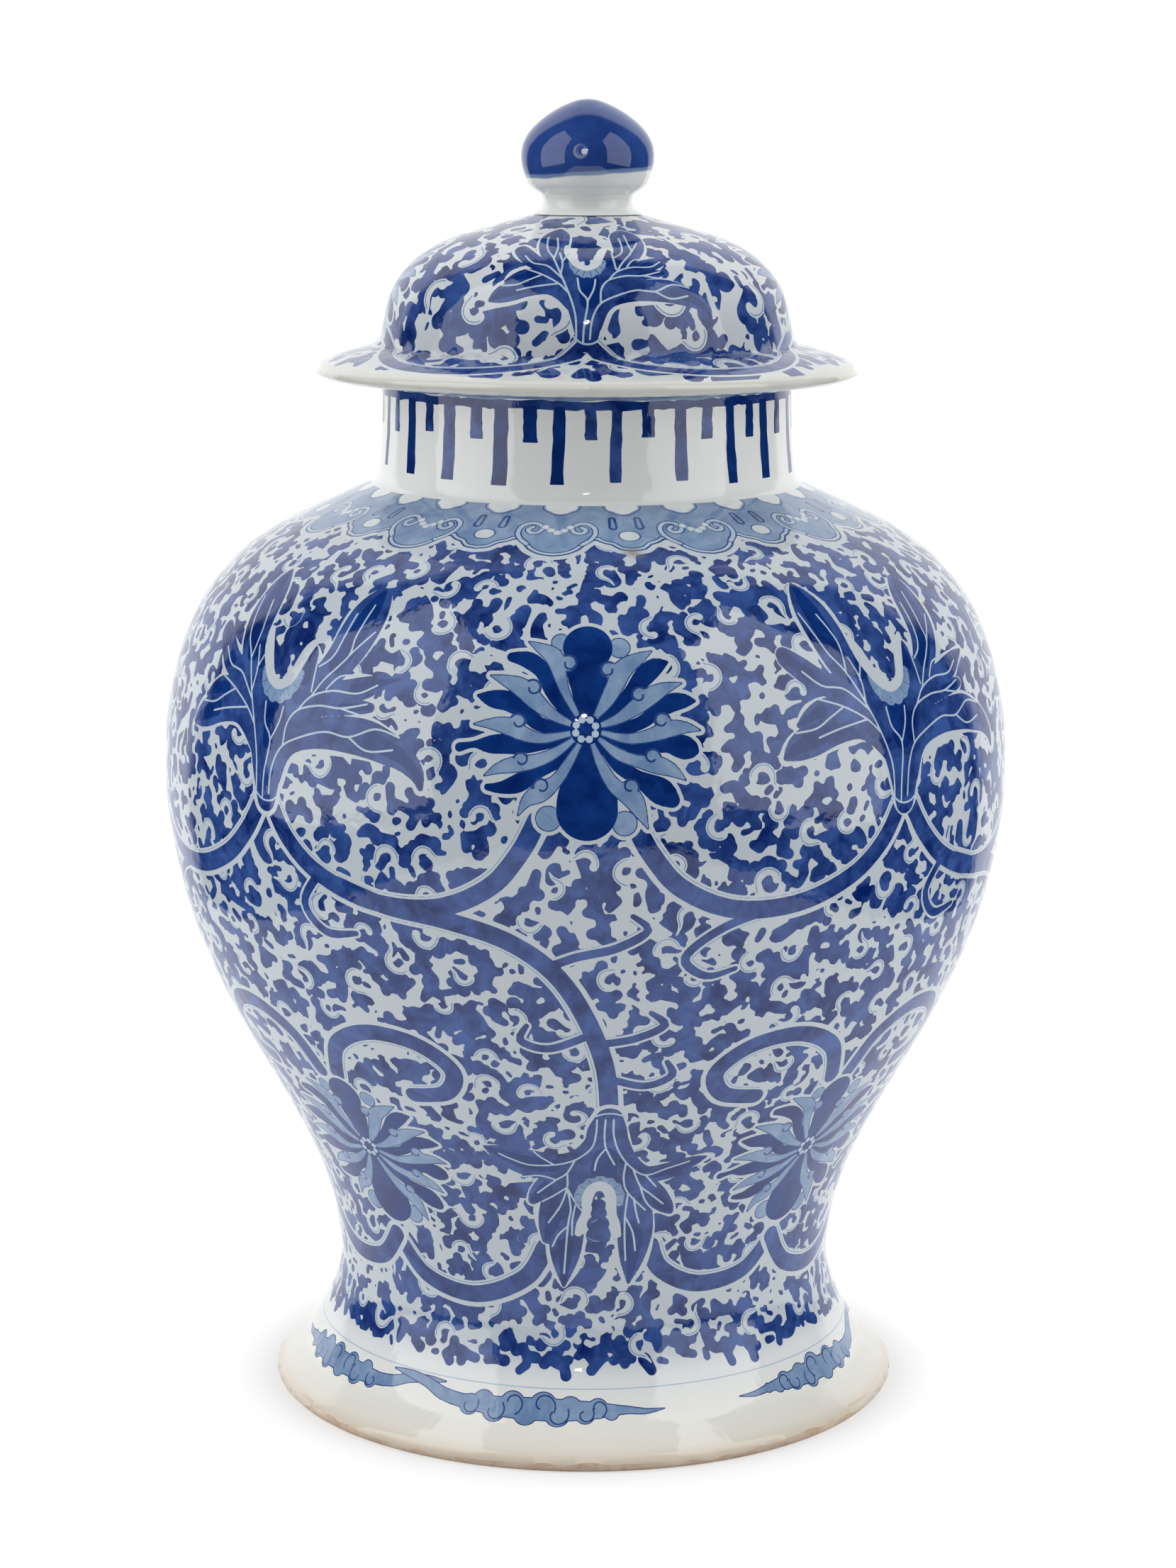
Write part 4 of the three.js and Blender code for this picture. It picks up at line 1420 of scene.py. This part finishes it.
def drips(wall, random):
    """Lays the band with its darker pools, and the drips under it."""
    def place(degrees, heights):
        degrees, heights = np.broadcast_arrays(degrees, heights)
        return wall.spot(degrees, np.interp(heights, wall.height, wall.along))

    turn = np.arange(0, 360.1, 3)
    for level, half_width, wash in band_strokes:
        band = place(turn - 180, level + random.uniform(-0.3, 0.3, len(turn)))
        half_width = half_width + random.uniform(-0.4, 0.3, len(turn))
        wall.stroke(np.column_stack([band, half_width]), [(wash, 0)])
    for start in random.uniform(-180, 180, band_pools):
        pool = place(start + np.arange(0, random.uniform(5, 14), 1.5), band_foot + 1.3)
        wall.stroke(np.column_stack([pool, random.uniform(0.9, 1.5, len(pool))]), [("deep", 0)])
    for number in range(drip_pairs):
        for tip, offset in ((long_drip, 0), (short_drip, 0.5)):
            degrees = drip_turn + (number + offset + random.uniform(-0.07, 0.07)) * 360 / drip_pairs
            tip += random.uniform(-1.6, 1.6)
            half_width = random.uniform(1.5, 2.5) + np.linspace(0, 0.3, drip_points)
            heights = np.linspace(band_foot + 1, tip, drip_points)
            lean = random.uniform(-0.6, 0.6) * (band_foot - heights) / 20
            uneven = random.uniform(-0.25, 0.25, (2, drip_points))
            left, right = (np.degrees((side * half_width + rough + lean) / wall.radius[0])
                           for side, rough in zip((-1, 1), uneven))
            left, right = place(degrees + left, heights), place(degrees + right, heights)
            shape = np.vstack([left, right[::-1]])
            wall.shape(shape, [("cobalt", 0.2), ("-pale", 0.2)])
            if random.random() < deep_drips:
                wall.shape(shape, [("deep", 0.1)])


drips(neck_painted, chance)
neck_inside = np.vstack([
    arc(neck_bore + rim_round, neck_rim - rim_round, rim_round, 90, 180, 7),
    [[neck_bore, neck_joint]],
])
neck = fired("jar_neck", neck_painted, 0, neck_inside)
finished(neck, painted_glaze, "neck", "jar")


# The cover: thrown in one piece as a domed bowl with a wide thin brim, painted like the jar with
# leaf sprays in front and behind and flowers at the sides.
brim_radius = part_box("lid_dome")[1][0] / MM
brim_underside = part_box("lid_dome")[0][2] / MM
dome_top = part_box("lid_dome")[1][2] / MM
brim_thickness = 4.6
brim_rise = 10.8
brim_turns = [(85, 6.9), (78, 9)]
dome_foot_radius = 71.3
dome_wall = 5.6
stem_foot_radius = 18.6
vent_radius = 5
collar_inner_radius = 57
cover_grain = 0.3
cover_painting_foot = 360
cover_scroll_scale = 1.35
cover_scroll_foot, cover_scroll_head = 4.5, 104
cover_motif_size = 0.72
cover_flower = 50
cover_vine_half_width = 2.4
brim_border = 2.4
dome_shares = [
    [0, 0], [0.17, 0.026], [0.33, 0.056], [0.47, 0.107], [0.58, 0.175], [0.68, 0.265],
    [0.77, 0.385], [0.85, 0.55], [0.92, 0.76], [1, 1],
]
dome_foot = [dome_foot_radius, brim_underside + brim_rise]
brim_round = brim_thickness / 2
brim_edge = arc(brim_radius - brim_round, brim_underside + brim_round, brim_round, -90, 60, 13)
brim_top = [[radius, brim_underside + rise] for radius, rise in brim_turns]
brim_top = smooth([brim_edge[-1], *brim_top, dome_foot], 0.5)
dome_outline = outline(dome_foot, [stem_foot_radius, dome_top], dome_shares)
cover_wall = Wall([brim_edge, brim_top, dome_outline], cover_grain, cover_painting_foot)
cover_wall.joints = [0, cover_wall.joints[-1]]
scroll_ground(cover_wall, cover_scroll_foot, cover_scroll_head, cover_scroll_scale, chance)
for wash in ("cobalt", "pale"):
    cover_wall.cut(wash, (brim_border - cover_wall.along[:, None]).astype(np.float32))
cover_vine = [(0, 29), (7, 21), (16, 14), (30, 9), (46, 10), (60, 17), (72, 26), (84, 30)]
cover_stems = [(places, cover_vine_half_width) for places in (cover_vine, mirrored(cover_vine))]
for turn in (0, 180):
    vine(cover_wall, cover_stems, turn)
    spray(cover_wall, "upright", turn, cover_vine[0][1], cover_motif_size, chance)
    flower(cover_wall, turn + 90, cover_flower, cover_motif_size)
dome_inside = inner_face(dome_outline, dome_wall, dome_wall, inner_points)[::-1]
crown_under = dome_top - dome_wall
cover_inside = np.vstack([
    [[vent_radius, dome_top], [vent_radius, crown_under]],
    dome_inside[dome_inside[:, 1] < crown_under - 0.2],
    [[collar_inner_radius, brim_underside + brim_thickness], [collar_inner_radius, brim_underside]],
])
cover = fired("cover_dome", cover_wall, 0, cover_inside)
finished(cover, painted_glaze, "lid_dome", "lid")


def turned_piece(name, profile, steps=96):
    """A plain piece turned in one: its profile closes on itself, or starts and ends on the axis."""
    shell = bmesh.new()
    closed = profile[0][0] > 0
    spun(shell, list(profile) + list(profile[:1]) if closed else profile, steps)
    bmesh.ops.remove_doubles(shell, verts=shell.verts[:], dist=1e-6)
    smoothed(shell)
    mesh = bpy.data.meshes.new(name)
    shell.to_mesh(mesh)
    shell.free()
    return add_object(name, mesh)


# The collar under the cover: a plain ring, left bare of glaze so that it can't stick in the fire.
collar_outer_radius = 62
collar_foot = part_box("lid_collar")[0][2] / MM
collar_top_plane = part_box("lid_collar")[1][2] / MM
collar_round = 1.5


def biscuit(name):
    """Bare fired porcelain, dry and slightly warm in tone."""
    material, tree, shader, where = new_material(name)
    grain = texture(tree, "Noise", where, Scale=260, Detail=5, Roughness=0.6)["Fac"]
    tones = [(0.32, (0.52, 0.44, 0.33)), (0.7, (0.73, 0.69, 0.60))]
    tree.links.new(tone_ramp(tree, grain, tones, "LINEAR"), shader.inputs["Base Color"])
    add_relief(tree, shader, grain, 0.3, 0.0002)
    shader.inputs["Roughness"].default_value = biscuit_roughness
    return material


collar_profile = np.vstack([
    arc(collar_inner_radius + collar_round, collar_foot + collar_round, collar_round, 180, 270, 5),
    arc(collar_outer_radius - collar_round, collar_foot + collar_round, collar_round, -90, 0, 5),
    [[collar_outer_radius, collar_top_plane], [collar_inner_radius, collar_top_plane]],
])
collar = turned_piece("cover_collar", collar_profile)
finished(collar, biscuit("bare_biscuit"), "lid_collar", "lid")


# The knob: a hollow ball on a waisted stem, luted on the crown. It is dipped in one even dark
# cobalt wash down to a slanting line, and its stem is left white.
stem_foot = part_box("knob")[0][2] / MM
knob_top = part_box("knob")[1][2] / MM
ball_foot = stem_foot + 6.2
stem_radius = 15.2
knob_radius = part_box("knob")[1][0] / MM
knob_wall = 6.5
crown_wall = 9
stem_shares = [[0, 0], [0.32, 0.8], [0.72, 1], [1, 0.86]]
ball_shares = [
    [0, 0.67], [0.1, 0.87], [0.18, 0.93], [0.3, 0.985], [0.4, 1], [0.485, 0.99], [0.56, 0.958],
    [0.65, 0.885], [0.74, 0.77], [0.83, 0.61], [0.907, 0.43], [0.966, 0.24], [0.99, 0.12], [1, 0],
]
hollow_shares = [[0, 0], [0.5, 1], [0.85, 0.72], [1, 0]]
dip_line = 426.7
dip_slant = 0.07
dip_softness = 0.8
dip_waver = 0.0016
dip_tones = [(0.35, (0.010, 0.040, 0.20)), (0.7, (0.034, 0.085, 0.31))]
# The wash thins to a pale line along its lower edge.
dip_fringe = 1.3
fringe_tone = (0.19, 0.28, 0.47)
stem_tone = (0.86, 0.88, 0.85)
# A burst bubble in the glaze, as spots one over another, each [x, height, radius, tone]. The pit is
# real, but its pale rings and pale middle are a painted highlight, as the knob has no pit in its
# shape.
bubble_front = -22.4
bubble_with_painted_highlight = [
    (-2.4, 433.3, 2.7, (0.27, 0.30, 0.42)), (-1.9, 433.5, 2.35, (0.03, 0.07, 0.26)),
    (-1.8, 433.3, 2.0, (0.22, 0.27, 0.43)), (-1.9, 433.5, 1.7, (0.03, 0.08, 0.34)),
    (-1.1, 433.2, 1.15, (0.62, 0.65, 0.70)),
]


def dipped(name):
    """Clear glaze over an even cobalt wash that ends at a soft slanting line, and a burst bubble
    whose pale rings are a painted highlight.
    """
    material, tree, shader, where = new_material(name)
    slanted = vector_maths(tree, "DOT_PRODUCT", where, (-dip_slant, 0, 1))["Value"]
    waver = texture(tree, "Noise", where, Scale=90, Detail=3)["Fac"]
    level = maths(tree, "MULTIPLY_ADD", waver, dip_waver, slanted)
    uneven = texture(tree, "Noise", where, Scale=45, Detail=4, Roughness=0.6)["Fac"]
    colour = stem_tone
    for line, tone in (
        (dip_line - dip_fringe / 2, fringe_tone),
        (dip_line + dip_fringe / 2, tone_ramp(tree, uneven, dip_tones, "LINEAR")),
    ):
        start, end = (line - dip_softness / 2) * MM, (line + dip_softness / 2) * MM
        colour = blended(tree, faded(tree, level, start, end, kind="SMOOTHSTEP"), colour, tone)
    # The bubble's pale rings and middle are a painted highlight; the knob's surface stays smooth
    # there.
    for across, height, radius, tone in bubble_with_painted_highlight:
        spot = (across * MM, bubble_front * MM, height * MM)
        colour = spotted(tree, colour, where, spot, radius, radius * 0.8, tone)
    tree.links.new(colour, shader.inputs["Base Color"])
    shader.inputs["Roughness"].default_value = glaze_roughness
    shader.inputs["IOR"].default_value = glaze_index
    return material


def globe(shares, radius, top, step):
    """A profile round a ball that stands on the stem, by shares of its height and its radius."""
    points = [[radius * spread, ball_foot + (top - ball_foot) * rise] for rise, spread in shares]
    return smooth(points, step)


stem = outline([stem_foot_radius, stem_foot], [stem_radius, ball_foot], stem_shares)
ball = globe(ball_shares, knob_radius, knob_top, 0.8)
hollow = globe(hollow_shares, knob_radius - knob_wall, knob_top - crown_wall, 2)[::-1]
hollow[-1, 0] = vent_radius
ball[-1, 0] = hollow[0, 0] = 0
knob_profile = np.vstack([hollow, [[vent_radius, stem_foot]], stem, ball[1:]])
knob = turned_piece("cover_knob", knob_profile)
finished(knob, dipped("cobalt_dip"), "knob", "lid")


# The studio: a white table that fades into a white backdrop, a broad soft box at each side of the
# jar, a small lamp far in front for the catch light, and a long lens tipped down at the shoulder.
camera_distance = 1.312
camera_height = 0.464
camera_tip = 10.82
camera_roll = -0.2
focal_pixels, frame_width = 5360, 1659
camera_data = bpy.data.cameras.new("camera")
camera_data.sensor_fit = "HORIZONTAL"
camera_data.lens = focal_pixels / frame_width * camera_data.sensor_width
camera = add_object("camera", camera_data)
camera.location = (0, -camera_distance, camera_height)
camera.rotation_euler = (math.radians(90 - camera_tip), math.radians(camera_roll), 0)
bpy.context.scene.camera = camera

# Each soft box stands upright and square to X: centre, width and height in metres, and radiance.
soft_boxes = {
    "left_box": ((-1.2, -0.735, 1.42), 1.39, 2.8, 1.75),
    "right_box": ((1.2, -0.99, 1.42), 1.58, 2.8, 1.65),
}
catch_light = (-0.05, -3, 1.53)
catch_light_size, catch_light_radiance = (0.12, 0.12), 40


def add_lamp(name, place, shape, width, height, radiance, facing):
    lamp = bpy.data.lights.new(name, "AREA")
    lamp.shape = shape
    lamp.size, lamp.size_y = width, height
    area = width * height * (math.pi / 4 if shape == "DISK" else 1)
    lamp.energy = radiance * math.pi * area
    box = add_object(name, lamp)
    box.location = place
    box.rotation_euler = math.radians(90), 0, math.radians(facing)
    box.visible_camera = False


for name, (place, width, height, radiance) in soft_boxes.items():
    add_lamp(name, place, "RECTANGLE", width, height, radiance, 90 if place[0] > 0 else -90)
add_lamp("catch_light", catch_light, "DISK", *catch_light_size, catch_light_radiance, 0)

# The room round the jar, from straight in front, 0, to straight behind and overhead, 1, and its
# radiance. It glows softly from all sides, and in the glaze it is dark but for the white backdrop.
room_light = [(0, 0), (0.4, 0.08), (0.58, 1.35), (0.8, 0.8), (1, 0.6)]
room_mirrored = [(0, 0.02), (0.8, 0.02), (0.84, 1.1)]
overhead = 0.3
world = bpy.data.worlds.new("studio")
world.use_nodes = True
sky = world.node_tree
direction = add_node(sky, "ShaderNodeSeparateXYZ")
sky.links.new(add_node(sky, "ShaderNodeTexCoord").outputs["Generated"], direction.inputs[0])
behind = maths(sky, "MULTIPLY_ADD", direction.outputs["Z"], overhead, direction.outputs["Y"])
behind = maths(sky, "MULTIPLY_ADD", behind, 0.5, 0.5, clamp=True)
light, mirrored_light = (
    tone_ramp(sky, behind, [(share, (radiance,) * 3) for share, radiance in stops], "LINEAR")
    for stops in (room_light, room_mirrored)
)
rays = add_node(sky, "ShaderNodeLightPath").outputs
room = blended(sky, rays["Is Glossy Ray"], light, mirrored_light)
room = blended(sky, rays["Is Camera Ray"], room, (1.0, 1.0, 1.0))
sky.links.new(room, sky.nodes["Background"].inputs["Color"])
bpy.context.scene.world = world

# The floor is a narrow white table that ends short of the lens, so its edges show in the glaze.
# Round the jar it fades to pure white, from floor_fade[0] to floor_fade[1] in metres from the axis.
table_front, table_back, table_width = -1.1, 0.7, 0.9
floor_fade = (0.104, 0.128)
floor_white = (0.5, 1)
paper_tone = (0.86, 0.86, 0.86)
paper_roughness = 0.9
floor_mesh = bmesh.new()
bmesh.ops.create_grid(floor_mesh, x_segments=1, y_segments=1, size=0.5)
bmesh.ops.scale(floor_mesh, verts=floor_mesh.verts, vec=(table_width, table_back - table_front, 1))
bmesh.ops.translate(floor_mesh, verts=floor_mesh.verts, vec=(0, (table_front + table_back) / 2, 0))
floor_data = bpy.data.meshes.new("floor")
floor_mesh.to_mesh(floor_data)
floor_mesh.free()
floor = add_object("floor", floor_data)
paper, tree, shader, where = new_material("white_paper")
shader.inputs["Base Color"].default_value = (*paper_tone, 1)
shader.inputs["Roughness"].default_value = paper_roughness
off = vector_maths(tree, "LENGTH", where)["Value"]
whiteness = faded(tree, off, *floor_fade, floor_white, "SMOOTHSTEP")
rays = add_node(tree, "ShaderNodeLightPath").outputs
seen = maths(tree, "SUBTRACT", 1, rays["Is Diffuse Ray"])
whitened = add_node(tree, "ShaderNodeMixShader")
glow = add_node(tree, "ShaderNodeEmission", Strength=1)
whiteness = maths(tree, "MULTIPLY", whiteness, seen)
join(tree, whitened.inputs, (whiteness, shader.outputs[0], glow.outputs[0]))
tree.links.new(whitened.outputs[0], tree.nodes["Material Output"].inputs["Surface"])
floor_data.materials.append(paper)
bpy.context.scene.view_settings.view_transform = "Standard"
